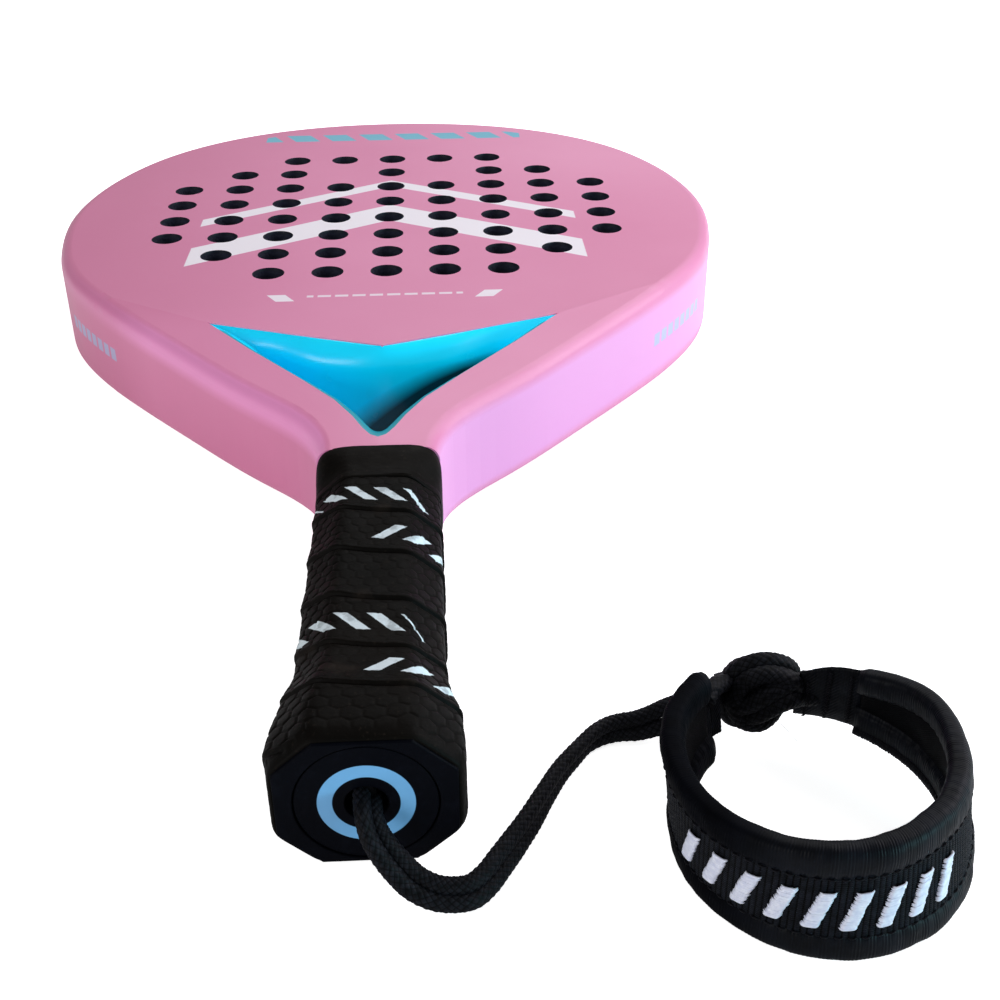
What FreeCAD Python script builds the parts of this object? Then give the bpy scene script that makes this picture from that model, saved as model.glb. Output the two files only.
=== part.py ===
import FreeCAD, Part
import math
import os

# Padel racket with grip, wrist cord and padded wristband, in millimetres.
# The origin is the centre of the butt's end face. +X is to the right looking from butt to tip,
# +Y runs along the racket to the tip and +Z points out of the front face.
# The racket lies on its back face. "Near" means towards the butt, "far" towards the tip.

V = FreeCAD.Vector

# ---------------------------------------------------------------- head dimensions
LENGTH = 455.0             # butt end to tip
THICK = 36.92              # head thickness
HALF_THICK = THICK / 2.0
EDGE_RADIUS = 4.7          # rounding of the rim's edges
SHEET_THICK = 1.2          # face sheets
NECK_Y = 124.0             # the frame ends and the grip starts
RIM_WIDTH = 11.0           # hollow rim, seen from the front
RIM_WALL = 2.2
CAVITY_HALF_HEIGHT = 13.4  # hollow inside the rim and the arms
CAVITY_SETBACK = 2.6       # the hollow stays this far short of the core's near edge
CUT_MARGIN = 1.0           # cutters reach this far beyond both faces

HOLE_RADIUS = 5.8
HOLE_PITCH_X, HOLE_PITCH_Y = 21.23, 19.74
HOLE_ORIGIN_Y = 233.75     # row k lies k pitches beyond this
HOLE_ROWS = {              # row: columns, counted from the centre line
    1: range(-2, 3),
    2: range(-3, 4),
    3: range(-4, 5),
    4: range(-4, 5),
    5: range(-4, 5),
    6: range(-4, 5),
    7: (-3, -2, 0, 2, 3),
    8: range(-2, 3),
}

# All outlines below are right halves, as (x, y).
OUTLINE = [                # neck to tip
    (17.3, NECK_Y), (18.4, 131.0), (21.2, 137.9), (39.4, 159.9), (64.1, 188.7), (88.45, 218.75),
    (105.9, 242.7), (118.0, 265.0), (125.4, 292.6), (128.55, 322.15), (125.6, 351.5),
    (116.7, 381.0), (100.4, 409.9), (73.9, 434.5), (39.7, 449.9), (0.0, LENGTH),
]
THROAT_CORNER = (58.5, 210.2)
CREASE = (THROAT_CORNER, (98.0, 236.8))  # beyond this line the head has its full thickness
ARM_SLOPE = 0.06           # each face drops by this much per mm from the crease to the neck

# Throat opening, from the far centre round the outer corner to the near vertex.
OPEN_FACE = [              # outside of the liner at the two faces
    (0.0, 187.9), (31.0, 199.3), THROAT_CORNER, (42.8, 189.0), (24.7, 166.6),
    (13.6, 152.2), (7.8, 141.6), (4.6, 134.2), (2.2, 130.2), (0.0, 128.8),
]
OPEN_LIP = [               # inside of the liner at the two faces
    (0.0, 187.5), (30.6, 198.8), (55.6, 208.4), (41.9, 190.4), (24.0, 168.0),
    (12.8, 153.8), (6.8, 143.4), (3.6, 136.4), (1.7, 132.6), (0.0, 131.3),
]
OPEN_MID = [               # inside of the liner along its straight part
    (0.0, 184.3), (30.0, 194.8), (40.5, 198.6), (37.4, 190.6), (23.2, 171.0),
    (12.6, 155.8), (6.8, 145.4), (3.6, 138.4), (1.7, 134.6), (0.0, 133.3),
]
LINER_THICK = 1.2
OPEN_MID_HALF_HEIGHT = 9.5
FUNNEL_OVERSHOOT = 0.02    # the flared ends reach this far beyond the faces

CORE_NEAR_EDGE = [(0.0, 201.5), (58.5, 222.4), (150.0, 284.0)]
CORE_FAR_CORNER = (150.0, 480.0)
BRIDGE = CORE_NEAR_EDGE[:2] + [THROAT_CORNER, (40.0, 196.0), (0.0, 178.0)]
THROAT_SOLID = [           # region round the throat that the frame's hollow leaves out
    (0.0, 201.5), (60.0, 222.0), (63.0, 224.6), (63.6, 209.0), (45.4, 187.2),
    (27.2, 164.6), (16.2, 150.4), (10.4, 140.0), (7.2, 132.6), (3.6, 126.0),
]

# ---------------------------------------------------------------- handle dimensions
# Octagonal sections along the handle: (y, half width, half height).
CAP = [
    (0.0, 18.9, 16.0), (0.9, 19.2, 16.3), (3.0, 19.15, 16.3), (7.0, 19.0, 16.3),
    (13.0, 18.8, 16.2), (20.0, 17.8, 15.4), (26.5, 16.3, 14.2), (34.0, 14.4, 12.6),
]
BASE_GRIP = [
    (0.9, 19.2, 16.3), (3.0, 19.75, 16.9), (7.0, 19.9, 17.15), (13.0, 19.8, 17.1),
    (20.0, 18.8, 16.3), (26.5, 17.4, 15.2), (34.0, 15.8, 13.9), (122.0, 15.7, 13.8),
]
OVERGRIP = [               # without the steps of the wrap
    (0.9, 19.7, 16.8), (3.0, 20.5, 17.65), (7.0, 20.85, 18.1), (13.0, 20.8, 18.1),
    (20.0, 19.75, 17.3), (26.5, 18.5, 16.25), (34.0, 17.05, 15.1), (NECK_Y, 16.95, 15.0),
]
WRAP_EDGES = [17.1, 33.5, 52.0, 72.2, 91.7, 110.0]  # y of the edges of the wrap's turns
WRAP_STEP = 0.3            # rise in half width at an edge
WRAP_HEIGHT_RATIO = 0.9    # rise in half height for each mm of half width
WRAP_RAMP = 0.3            # length of the rise along Y
COLLAR = [
    (WRAP_EDGES[-1], 17.15, 15.3), (WRAP_EDGES[-1] + 1.0, 17.15, 15.3),
    (NECK_Y - 0.8, 17.1, 15.2), (NECK_Y, 16.8, 14.9),
]
CORNER_X, CORNER_Z = 0.47, 0.50  # octagon chamfers, as fractions of half width and half height

PALLET_START, PALLET_WIDTH, PALLET_HEIGHT = CAP[-1]  # y, half width, half height
STEM_WIDTH, STEM_HEIGHT = 11.2, 9.6  # half width, half height
STEM_WALL = 1.8
STEM_END = 18.0            # near end of the stem
CAP_FLOOR = 5.2            # y where the hollow in the cap starts
CAP_HOLE_RADIUS = 4.6
DISC_RADIUS, DISC_GAP = 14.9, 0.4
DISC_Y, DISC_THICK = 0.2, 2.0
RECESS_DEPTH = 2.2
PIN_RADIUS, PIN_LENGTH, PIN_Y = 1.5, 30.0, 11.0

# ---------------------------------------------------------------- cord dimensions
TABLE_Z = -HALF_THICK      # the surface under the racket
STRAND_RADIUS = 2.1        # one strand of the doubled cord
CORD_RADIUS = 3.1          # round rod that stands for the doubled cord
SOCKET_RADIUS = 3.9        # hollow in the end of a run, room for the next run to turn
CORD_Z = TABLE_Z + CORD_RADIUS + 0.06

BIGHT_UPPER = [            # upper half of the loop round the pin, going in from the cap hole
    (0.0, 0.8, 2.28), (0.0, 3.2, 2.28), (0.0, 5.6, 2.3), (0.0, 9.4, 3.6), (0.0, 12.2, 3.5),
]
BIGHT_TOP = (0.0, 14.7, 0.0)
CORD_EXIT = (0.6, -3.4, 0.0)
TURN_1 = (10.0, -13.2, CORD_Z)
TURN_2 = (27.6, -5.4, CORD_Z)
TURN_3 = (48.6, 34.4, CORD_Z)
KNOT_START = (77.0, 40.5, -10.0)
CORD_RUNS = {
    "cord_neck": [CORD_EXIT, (2.2, -7.3, -4.6), (5.3, -10.9, -11.4), TURN_1],
    "cord_run_1": [TURN_1, (14.4, -14.8, CORD_Z), (22.4, -12.4, CORD_Z), TURN_2],
    "cord_run_2": [
        TURN_2, (33.7, 7.3, CORD_Z), (38.3, 16.4, CORD_Z), (43.0, 25.8, CORD_Z), TURN_3,
    ],
    "cord_run_3": [
        TURN_3, (54.0, 38.3, CORD_Z), (61.0, 39.9, CORD_Z + 0.2), (69.0, 40.9, CORD_Z + 2.2),
        KNOT_START,
    ],
}
KNOT_PATH = [KNOT_START, (80.5, 40.0, -9.3), (84.5, 39.0, -9.0)]
KNOT_LUMPS = [((85.6, 38.4, -9.0), 8.4), ((91.2, 37.8, -8.4), 8.0)]  # centre, radius

# ---------------------------------------------------------------- wristband dimensions
# A padded strap bent to a loop, standing on its edge. Angles in degrees from +X round the loop.
BAND_X, BAND_Y = 95.2, 2.8
BAND_INNER, BAND_OUTER = 27.8, 32.2
BAND_START, BAND_END = 138.0, 428.0
BAND_LOW, BAND_HIGH = TABLE_Z - 2, 20.0  # blank, before its edges are trimmed
TOP_Z, TOP_SLOPE_X, TOP_SLOPE_Y = 7.2, -0.060, -0.080  # top edge: height at centre, slopes
BOTTOM_Z = TABLE_Z + 0.05
BOTTOM_RISE = 12.8         # the bottom edge rises this much between the next two y
RISE_START_Y, RISE_END_Y = 20.0, 60.0
TRIM_SIZE = 60.0           # reach of the bodies that trim the strap
BINDING_HEIGHT, BINDING_THICK = 7.4, 0.8
LINING_THICK, WEB_THICK = 0.7, 1.0
WEB_INSET = 0.1            # the webbing lies this far inside the bindings' outer radius
LAYER_GAP = 0.04
PAD_RECESS = 1.0           # foam and lining stop this many degrees before the strap's ends
LINING_RADIUS = BAND_INNER + LINING_THICK
WEB_RADIUS = BAND_OUTER - WEB_THICK

BAR_COUNT, BAR_START, BAR_PITCH, BAR_ANGLE = 7, 226.0, 13.0, 5.5
BAR_RAISE = 0.45
BAR_LOW, BAR_HIGH = TABLE_Z + 9.6, TABLE_Z + 18.2
TAB_INNER, TAB_OUTER, TAB_LOW, TAB_GAP = 29.8, 31.3, -12.2, 0.3
TACK_INNER, TACK_OUTER = 31.35, 31.9
TACK_COUNT, TACK_LOW, TACK_HEIGHT, TACK_PITCH = 3, -11.4, 2.8, 4.6


# ---------------------------------------------------------------- general helpers
def biggest(shape):
    return max(shape.Solids, key=lambda solid: solid.Volume)


def closed_face(points):
    return Part.Face(Part.makePolygon(points + [points[0]]))


def polygon(points, z):
    return Part.makePolygon([V(x, y, z) for x, y in points + points[:1]])


def prism(points, z_low, z_high):
    return Part.Face(polygon(points, z_low)).extrude(V(0, 0, z_high - z_low))


def through_prism(points):
    return prism(points, -HALF_THICK - CUT_MARGIN, HALF_THICK + CUT_MARGIN)


def both_sides(half):
    """A right half outline followed by its mirror image; points on the axis are not repeated."""
    return half + [(-x, y) for x, y in half[::-1] if x > 0]


def slice_z(shape, z_low, z_high):
    return shape.common(Part.makeBox(600.0, 700.0, z_high - z_low, V(-300.0, -100.0, z_low)))


def cylinder_y(radius, y, length):
    return Part.makeCylinder(radius, length, V(0, y, 0), V(0, 1, 0))


# ---------------------------------------------------------------- outline of the head
def biarc(start, start_dir, end, end_dir):
    """Two tangent arcs with the given end directions, as (start, middle, end) triples."""
    span_x, span_y = end[0] - start[0], end[1] - start[1]
    dot = start_dir[0] * end_dir[0] + start_dir[1] * end_dir[1]
    along = span_x * (start_dir[0] + end_dir[0]) + span_y * (start_dir[1] + end_dir[1])
    span_sq = span_x * span_x + span_y * span_y
    if 1.0 - dot < 1e-9:
        reach = span_sq / (2.0 * along)
    else:
        root = math.sqrt(along * along + 2.0 * (1.0 - dot) * span_sq)
        reach = (-along + root) / (2.0 * (1.0 - dot))
    joint = tuple((start[i] + end[i] + reach * (start_dir[i] - end_dir[i])) / 2.0
                  for i in (0, 1))
    arcs = []
    for a, b, tangent, sign in ((start, joint, start_dir, 1.0), (joint, end, end_dir, -1.0)):
        chord_x, chord_y = b[0] - a[0], b[1] - a[1]
        chord = math.hypot(chord_x, chord_y)
        sine = (chord_x * tangent[1] - chord_y * tangent[0]) / chord * sign
        angle = math.asin(max(-1.0, min(1.0, sine)))
        bulge = chord / 2.0 * math.tan(angle / 2.0)
        middle = ((a[0] + b[0]) / 2.0 - chord_y / chord * bulge,
                  (a[1] + b[1]) / 2.0 + chord_x / chord * bulge)
        arcs.append((a, middle, b))
    return arcs


def arc_edge(arc, side):
    start, middle, end = [V(side * x, y, -HALF_THICK) for x, y in arc]
    if (middle - (start + end) * 0.5).Length < 1e-4:
        return Part.makeLine(start, end)
    return Part.Arc(start, middle, end).toShape()


def outline_wire():
    """Tangent arcs along a smooth curve through the outline, and a straight line at the neck."""
    curve = Part.BSplineCurve()
    curve.interpolate([V(x, y, 0) for x, y in both_sides(OUTLINE)])
    knots = [curve.parameter(V(x, y, 0)) for x, y in OUTLINE]
    stops = []
    for first, second in zip(knots[:-1], knots[1:]):
        stops += [first, (first + second) / 2.0]
    nodes = []
    for stop in stops:
        point, tangent = curve.value(stop), curve.tangent(stop)[0]
        nodes.append(((point.x, point.y), (tangent.x, tangent.y)))
    nodes.append((OUTLINE[-1], (-1.0, 0.0)))
    arcs = []
    for (start, start_dir), (end, end_dir) in zip(nodes[:-1], nodes[1:]):
        arcs += biarc(start, start_dir, end, end_dir)
    edges = [arc_edge(arc, 1) for arc in arcs]
    edges += [arc_edge(arc[::-1], -1) for arc in arcs[::-1]]
    x, y = OUTLINE[0]
    edges.append(Part.makeLine(V(-x, y, -HALF_THICK), V(x, y, -HALF_THICK)))
    return Part.Wire(edges)


def inset_slab(outline, inset):
    return Part.Face(outline.makeOffset2D(-inset)).extrude(V(0, 0, THICK))


# ---------------------------------------------------------------- outer form of the head
def arm_wedges():
    """Bodies that slope both faces of both arms from the crease to the neck."""
    (x0, y0), (x1, y1) = CREASE
    length = math.hypot(x1 - x0, y1 - y0)
    normal_x, normal_y = (y1 - y0) / length, -(x1 - x0) / length

    def crease_y(x):
        return y0 + (x - x0) * (y1 - y0) / (x1 - x0)

    def arm_top(x, y):
        return HALF_THICK - ARM_SLOPE * ((x - x0) * normal_x + (y - y0) * normal_y)

    plan = [(0.0, crease_y(0.0)), (150.0, crease_y(150.0)), (150.0, 90.0), (0.0, 90.0)]
    wedges = []
    for side in (1, -1):
        for up in (1, -1):
            face = closed_face([V(side * x, y, up * arm_top(x, y)) for x, y in plan])
            wedges.append(face.extrude(V(0, 0, up * 25.0)))
    return wedges


def rim_edges(shape):
    """Edges between the curved side wall and the faces, leaving out the neck and the creases."""
    chosen = []
    for edge in shape.Edges:
        box = edge.BoundBox
        if box.ZLength > 6.0:
            continue
        middle = edge.valueAt((edge.FirstParameter + edge.LastParameter) / 2)
        at_neck = box.YLength < 0.01 and abs(middle.y - NECK_Y) < 0.01
        if abs(middle.z) < HALF_THICK - 4.5 or at_neck:
            continue
        if abs(middle.x) < 1e-3 and box.XLength < 0.01:
            continue
        faces = shape.ancestorsOfType(edge, Part.Face)
        if all(face.Surface.TypeId == "Part::GeomPlane" for face in faces):
            continue
        chosen.append(edge)
    return chosen


def head_blank(outline):
    blank = Part.Face(outline).extrude(V(0, 0, THICK))
    for wedge in arm_wedges():
        blank = blank.cut(wedge)
    blank = biggest(blank)
    return biggest(blank.makeFillet(EDGE_RADIUS, rim_edges(blank)))


# ---------------------------------------------------------------- throat opening
def funnel(face_points, mid_points):
    """Straight in the middle and flared towards both faces."""
    mid_z, face_z = OPEN_MID_HALF_HEIGHT, HALF_THICK + FUNNEL_OVERSHOOT
    top = Part.makeLoft([polygon(mid_points, mid_z), polygon(face_points, face_z)], True, True)
    low = Part.makeLoft([polygon(face_points, -face_z), polygon(mid_points, -mid_z)], True, True)
    return prism(mid_points, -mid_z, mid_z).fuse(top).fuse(low)


def grow_outline(points, distance):
    """Move each corner outwards; the outline runs clockwise seen from +Z."""
    grown = []
    for i, (x, y) in enumerate(points):
        x_before, y_before = points[i - 1]
        x_after, y_after = points[(i + 1) % len(points)]
        before = math.hypot(x - x_before, y - y_before)
        after = math.hypot(x_after - x, y_after - y)
        normal_a = ((y_before - y) / before, (x - x_before) / before)
        normal_b = ((y - y_after) / after, (x_after - x) / after)
        # the lower limit keeps sharp corners from running far out
        spread = max(1.0 + normal_a[0] * normal_b[0] + normal_a[1] * normal_b[1], 0.35)
        grown.append((x + distance * (normal_a[0] + normal_b[0]) / spread,
                      y + distance * (normal_a[1] + normal_b[1]) / spread))
    return grown


# ---------------------------------------------------------------- pieces of the head
def core_half(setback):
    return [(x, y - setback) for x, y in CORE_NEAR_EDGE] + [CORE_FAR_CORNER]


def drill_holes():
    return Part.makeCompound([
        Part.makeCylinder(HOLE_RADIUS, THICK + 4, V(column * HOLE_PITCH_X,
                          HOLE_ORIGIN_Y + row * HOLE_PITCH_Y, -HALF_THICK - 2))
        for row, columns in HOLE_ROWS.items() for column in columns])


def frame_cavity(outline):
    hollow = slice_z(inset_slab(outline, RIM_WALL), -CAVITY_HALF_HEIGHT, CAVITY_HALF_HEIGHT)
    core = inset_slab(outline, RIM_WIDTH - RIM_WALL)
    core = core.common(through_prism(both_sides(core_half(CAVITY_SETBACK))))
    throat = through_prism(both_sides(THROAT_SOLID))
    neck = Part.makeBox(80, 20, 60, V(-40, 112, -30))
    return hollow.cut(core).cut(throat).cut(neck)


def frame_tube(blank, outline, core_region, bridge_region, socket):
    """Hollow rim and arms, with the hollow stem that runs into the handle."""
    frame = biggest(blank.cut(core_region).cut(bridge_region).cut(socket))
    frame = frame.cut(frame_cavity(outline))
    stem = bar(STEM_END, NECK_Y, STEM_WIDTH, STEM_HEIGHT).cut(stem_hollow(STEM_END - 1, NECK_Y - 4.0))
    return biggest(frame.fuse(stem))


def head_parts():
    outline = outline_wire()
    blank = head_blank(outline)
    mid_points = both_sides(OPEN_MID)
    opening = funnel(both_sides(OPEN_LIP), mid_points)
    socket = funnel(both_sides(OPEN_FACE), grow_outline(mid_points, LINER_THICK))
    core_region = inset_slab(outline, RIM_WIDTH).common(through_prism(both_sides(core_half(0.0))))
    bridge_region = through_prism(both_sides(BRIDGE))
    head = blank.common(core_region)
    drill = drill_holes()

    def drilled(z_low, z_high):
        return biggest(slice_z(head, z_low, z_high).cut(drill))

    core_z = HALF_THICK - SHEET_THICK
    outside = HALF_THICK + CUT_MARGIN
    return {
        "front_face_sheet": drilled(core_z, outside),
        "back_face_sheet": drilled(-outside, -core_z),
        "foam_core": drilled(-core_z, core_z),
        "throat_bridge": biggest(blank.common(bridge_region).cut(socket)),
        "throat_liner": biggest(socket.cut(opening).common(blank)),
        "frame_tube": frame_tube(blank, outline, core_region, bridge_region, socket),
    }


# ---------------------------------------------------------------- handle
def octagon(y, width, height):
    """Octagonal section from its half width and half height."""
    inner_x, inner_z = width - CORNER_X * width, height - CORNER_Z * height
    corners = [(inner_x, height), (width, inner_z), (width, -inner_z), (inner_x, -height),
               (-inner_x, -height), (-width, -inner_z), (-width, inner_z), (-inner_x, height)]
    return Part.makePolygon([V(x, y, z) for x, z in corners + corners[:1]])


def loft_sections(sections):
    return Part.makeLoft([octagon(*section) for section in sections], True, True)


def bar(y_start, y_end, width, height):
    return loft_sections([(y_start, width, height), (y_end, width, height)])


def stem_hollow(y_start, y_end):
    return bar(y_start, y_end, STEM_WIDTH - STEM_WALL, STEM_HEIGHT - STEM_WALL)


def pallet_halves():
    """Front and back halves of the handle body round the stem."""
    pallet = bar(PALLET_START, NECK_Y, PALLET_WIDTH, PALLET_HEIGHT)
    pallet = pallet.cut(bar(30.0, NECK_Y + 1, STEM_WIDTH, STEM_HEIGHT))
    return [biggest(pallet.common(Part.makeBox(60, 200, 30, V(-30, 0, z)))) for z in (0, -30)]


def butt_cap(cap_outer, pin):
    cap = cap_outer.cut(bar(STEM_END, 40.0, STEM_WIDTH, STEM_HEIGHT))
    cap = cap.cut(stem_hollow(CAP_FLOOR, STEM_END + 0.01))
    cap = cap.cut(cylinder_y(CAP_HOLE_RADIUS, -1, 8.0))
    cap = cap.cut(cylinder_y(DISC_RADIUS + DISC_GAP, -1, RECESS_DEPTH + 1))
    return biggest(cap.cut(pin))


def cap_disc():
    return cylinder_y(DISC_RADIUS, DISC_Y, DISC_THICK).cut(cylinder_y(CAP_HOLE_RADIUS, -1, 8.0))


def wrap_lift(y):
    """Rise of the overgrip at y: full at an edge of the wrap, fading out up to the next one."""
    if y < WRAP_EDGES[0] or y >= WRAP_EDGES[-1]:
        return 0.0
    start = max(edge for edge in WRAP_EDGES if edge <= y)
    end = min(edge for edge in WRAP_EDGES if edge > y)
    return WRAP_STEP * (1 - (y - start) / (end - start))


def grip_section(y, lift):
    for (y0, width0, height0), (y1, width1, height1) in zip(OVERGRIP[:-1], OVERGRIP[1:]):
        if y <= y1:
            break
    t = (y - y0) / (y1 - y0)
    return (y, width0 + t * (width1 - width0) + lift,
            height0 + t * (height1 - height0) + lift * WRAP_HEIGHT_RATIO)


def overgrip_outer():
    sections = []
    for y in sorted({section[0] for section in OVERGRIP[:-1]} | set(WRAP_EDGES)):
        if y in WRAP_EDGES[:-1]:
            sections.append(grip_section(y - WRAP_RAMP, 0.0))
        sections.append(grip_section(y, wrap_lift(y)))
    return loft_sections(sections)


def handle_parts():
    cap_outer = loft_sections(CAP)
    core_outer = cap_outer.fuse(bar(PALLET_START, NECK_Y, PALLET_WIDTH, PALLET_HEIGHT))
    base_outer = loft_sections(BASE_GRIP)
    pallet_front, pallet_back = pallet_halves()
    pin = Part.makeCylinder(PIN_RADIUS, PIN_LENGTH, V(-PIN_LENGTH / 2, PIN_Y, 0), V(1, 0, 0))
    return {
        "pallet_front": pallet_front,
        "pallet_back": pallet_back,
        "butt_cap": butt_cap(cap_outer, pin),
        "cap_disc": cap_disc(),
        "cord_crossbar": pin,
        "base_grip": biggest(base_outer.cut(core_outer)),
        "overgrip": biggest(overgrip_outer().cut(base_outer).cut(core_outer)),
        "grip_collar": biggest(loft_sections(COLLAR).cut(base_outer).cut(core_outer)),
    }


# ---------------------------------------------------------------- cord
def sphere(centre, radius):
    return Part.makeSphere(radius, V(*centre))


def rod(points, radius):
    """Round rod along a smooth path through the points."""
    curve = Part.BSplineCurve()
    curve.interpolate([V(*point) for point in points])
    tangent = curve.tangent(curve.FirstParameter)[0]
    pipe = Part.BRepOffsetAPI.MakePipeShell(Part.Wire(curve.toShape()))
    pipe.setFrenetMode(False)
    pipe.add(Part.Wire(Part.makeCircle(radius, V(*points[0]), tangent)))
    pipe.build()
    pipe.makeSolid()
    return pipe.shape()


def ball_ended_rod(points):
    return rod(points, CORD_RADIUS).fuse(sphere(points[0], CORD_RADIUS))


def cord_run(points):
    """A ball on the first end, and a hollow in the far end for the next run's ball."""
    body = ball_ended_rod(points).removeSplitter()
    return biggest(body.cut(sphere(points[-1], SOCKET_RADIUS)))


def cord_bight():
    """One strand looped round the pin in the cap."""
    lower = [(x, y, -z) for x, y, z in BIGHT_UPPER[::-1]]
    return rod(BIGHT_UPPER + [BIGHT_TOP] + lower, STRAND_RADIUS)


def cord_knot():
    knot = ball_ended_rod(KNOT_PATH)
    for centre, radius in KNOT_LUMPS:
        knot = knot.fuse(sphere(centre, radius))
    return biggest(knot.removeSplitter())


def cord_parts():
    pieces = {name: cord_run(points) for name, points in CORD_RUNS.items()}
    pieces["cord_bight"] = cord_bight()
    pieces["cord_knot"] = cord_knot()
    return pieces


# ---------------------------------------------------------------- wristband
def sector(inner, outer, z_low=BAND_LOW, z_high=BAND_HIGH, start=BAND_START, end=BAND_END):
    """Part of a ring round the band's axis, between two angles."""
    section = [(inner, z_low), (outer, z_low), (outer, z_high), (inner, z_high)]
    face = closed_face([V(BAND_X + radius, BAND_Y, z) for radius, z in section])
    axis = V(BAND_X, BAND_Y, 0)
    solid = face.revolve(axis, V(0, 0, 1), end - start)
    solid.rotate(axis, V(0, 0, 1), start)
    return solid


def trim_zone(inset):
    """Space between the strap's sloping top edge and its bottom edge, both moved in by inset."""
    size = TRIM_SIZE
    plan = [(-size, -size), (size, -size), (size, size), (-size, size)]
    top = closed_face([V(BAND_X + x, BAND_Y + y, TOP_Z + TOP_SLOPE_X * x + TOP_SLOPE_Y * y - inset)
                       for x, y in plan])
    low = BOTTOM_Z + inset
    profile = [(BAND_Y - size, low), (RISE_START_Y, low), (RISE_END_Y, low + BOTTOM_RISE),
               (RISE_END_Y, 60.0), (BAND_Y - size, 60.0)]
    bottom = closed_face([V(BAND_X - size, y, z) for y, z in profile])
    return top.extrude(V(0, 0, -60)).common(bottom.extrude(V(2 * size, 0, 0)))


def bindings():
    """Bottom and top bindings, folded over the strap's two edges."""
    core = sector(LINING_RADIUS, WEB_RADIUS, start=BAND_START - 1, end=BAND_END + 1)
    core = core.common(trim_zone(BINDING_THICK))
    ring = sector(BAND_INNER, BAND_OUTER).common(trim_zone(0.0))
    binding = ring.cut(core).cut(trim_zone(BINDING_HEIGHT))
    pieces = sorted(binding.Solids, key=lambda solid: solid.BoundBox.ZMax)
    return pieces[0], pieces[-1]


def embroidery():
    """Row of raised upright bars on the outside of the webbing, on the loop's -Y side."""
    bars = []
    for i in range(BAR_COUNT):
        start = BAR_START + i * BAR_PITCH
        bars.append(sector(BAND_OUTER - WEB_INSET + LAYER_GAP, BAND_OUTER + BAR_RAISE,
                           BAR_LOW, BAR_HIGH, start, start + BAR_ANGLE))
    return Part.makeCompound(bars)


def tab_stitching():
    """Raised blocks, one above the other, outside the right tab."""
    tacks = []
    for i in range(TACK_COUNT):
        low = TACK_LOW + i * TACK_PITCH
        tacks.append(sector(TACK_INNER, TACK_OUTER, low, low + TACK_HEIGHT, 70.5, 79.0))
    return Part.makeCompound(tacks)


def band_parts():
    foam_zone = trim_zone(BINDING_THICK + LAYER_GAP)
    web_zone = trim_zone(BINDING_HEIGHT + LAYER_GAP)
    pad = {"start": BAND_START + PAD_RECESS, "end": BAND_END - PAD_RECESS}
    foam = sector(LINING_RADIUS + LAYER_GAP, WEB_RADIUS - LAYER_GAP, **pad)
    webbing = sector(WEB_RADIUS, BAND_OUTER - WEB_INSET)
    bottom_binding, top_binding = bindings()
    right_start, left_end = BAND_END + TAB_GAP - 360, BAND_START - TAB_GAP
    return {
        "band_foam": biggest(foam.common(foam_zone)),
        "band_lining": biggest(sector(BAND_INNER, LINING_RADIUS, **pad).common(web_zone)),
        "band_webbing": biggest(webbing.common(web_zone)),
        "band_bottom_binding": bottom_binding,
        "band_top_binding": top_binding,
        "band_embroidery": embroidery(),
        "band_tab_right": sector(TAB_INNER, TAB_OUTER, TAB_LOW, 2.0, right_start, 84.0),
        "band_tab_left": sector(TAB_INNER, TAB_OUTER, TAB_LOW, 3.0, 127.0, left_end),
        "tab_stitching": tab_stitching(),
    }


# ---------------------------------------------------------------- write every piece
os.makedirs("parts", exist_ok=True)
for build in (head_parts, handle_parts, cord_parts, band_parts):
    for name, shape in build().items():
        shape.exportStep("parts/%s.step" % name)
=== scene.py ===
"""A racket with a pink drilled head, a cyan-lined throat, a black wound grip and a wrist loop.

It lies flat on the floor: butt cap at y = 0, head towards +Y, thickness along Z about z = 0.
A twin cord leaves the butt, crosses the floor towards +X and meets the wristband at a knot.
Shapes are worked out in millimetres and turned into metres as each mesh is made.
"""
import math
import numpy as np
import bpy
from mathutils import Matrix, Vector


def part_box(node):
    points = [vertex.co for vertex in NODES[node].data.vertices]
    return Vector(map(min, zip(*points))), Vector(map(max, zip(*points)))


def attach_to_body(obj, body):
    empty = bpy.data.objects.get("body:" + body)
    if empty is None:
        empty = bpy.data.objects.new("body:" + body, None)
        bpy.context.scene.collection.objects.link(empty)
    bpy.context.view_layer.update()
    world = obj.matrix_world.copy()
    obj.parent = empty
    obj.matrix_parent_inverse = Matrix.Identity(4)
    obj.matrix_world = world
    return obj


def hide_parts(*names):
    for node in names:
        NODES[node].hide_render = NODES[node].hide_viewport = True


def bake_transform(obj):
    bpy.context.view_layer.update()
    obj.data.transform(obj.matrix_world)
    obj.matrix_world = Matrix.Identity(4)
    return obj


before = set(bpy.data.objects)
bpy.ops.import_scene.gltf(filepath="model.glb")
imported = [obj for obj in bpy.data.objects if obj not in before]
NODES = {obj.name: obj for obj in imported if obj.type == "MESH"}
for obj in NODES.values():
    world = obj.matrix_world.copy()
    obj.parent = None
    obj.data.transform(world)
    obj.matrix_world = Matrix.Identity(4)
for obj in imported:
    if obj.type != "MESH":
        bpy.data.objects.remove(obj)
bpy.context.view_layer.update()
rng = np.random.default_rng(7)

MM = 0.001
HEAD_HALF = 18.46               # half thickness of the head; the floor is this far below z = 0
ARM_CORNER = (58.5, 210.2)      # |x| and y where the level face, an arm and the throat meet
ARM_NORMAL = (0.5586, 0.8295)   # direction across that crease: +|x| and -y
ARM_SLOPE = 0.06                # fall of an arm's face per millimetre past the crease
PLAIT_PITCH, PLAIT_STRANDS, PLAIT_DEPTH = 1.70, 8, 0.40
TURN_UV = 4.0                   # millimetres of U per radian around a tube


def fine(full):
    """Returns the full resolution."""
    return full


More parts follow.
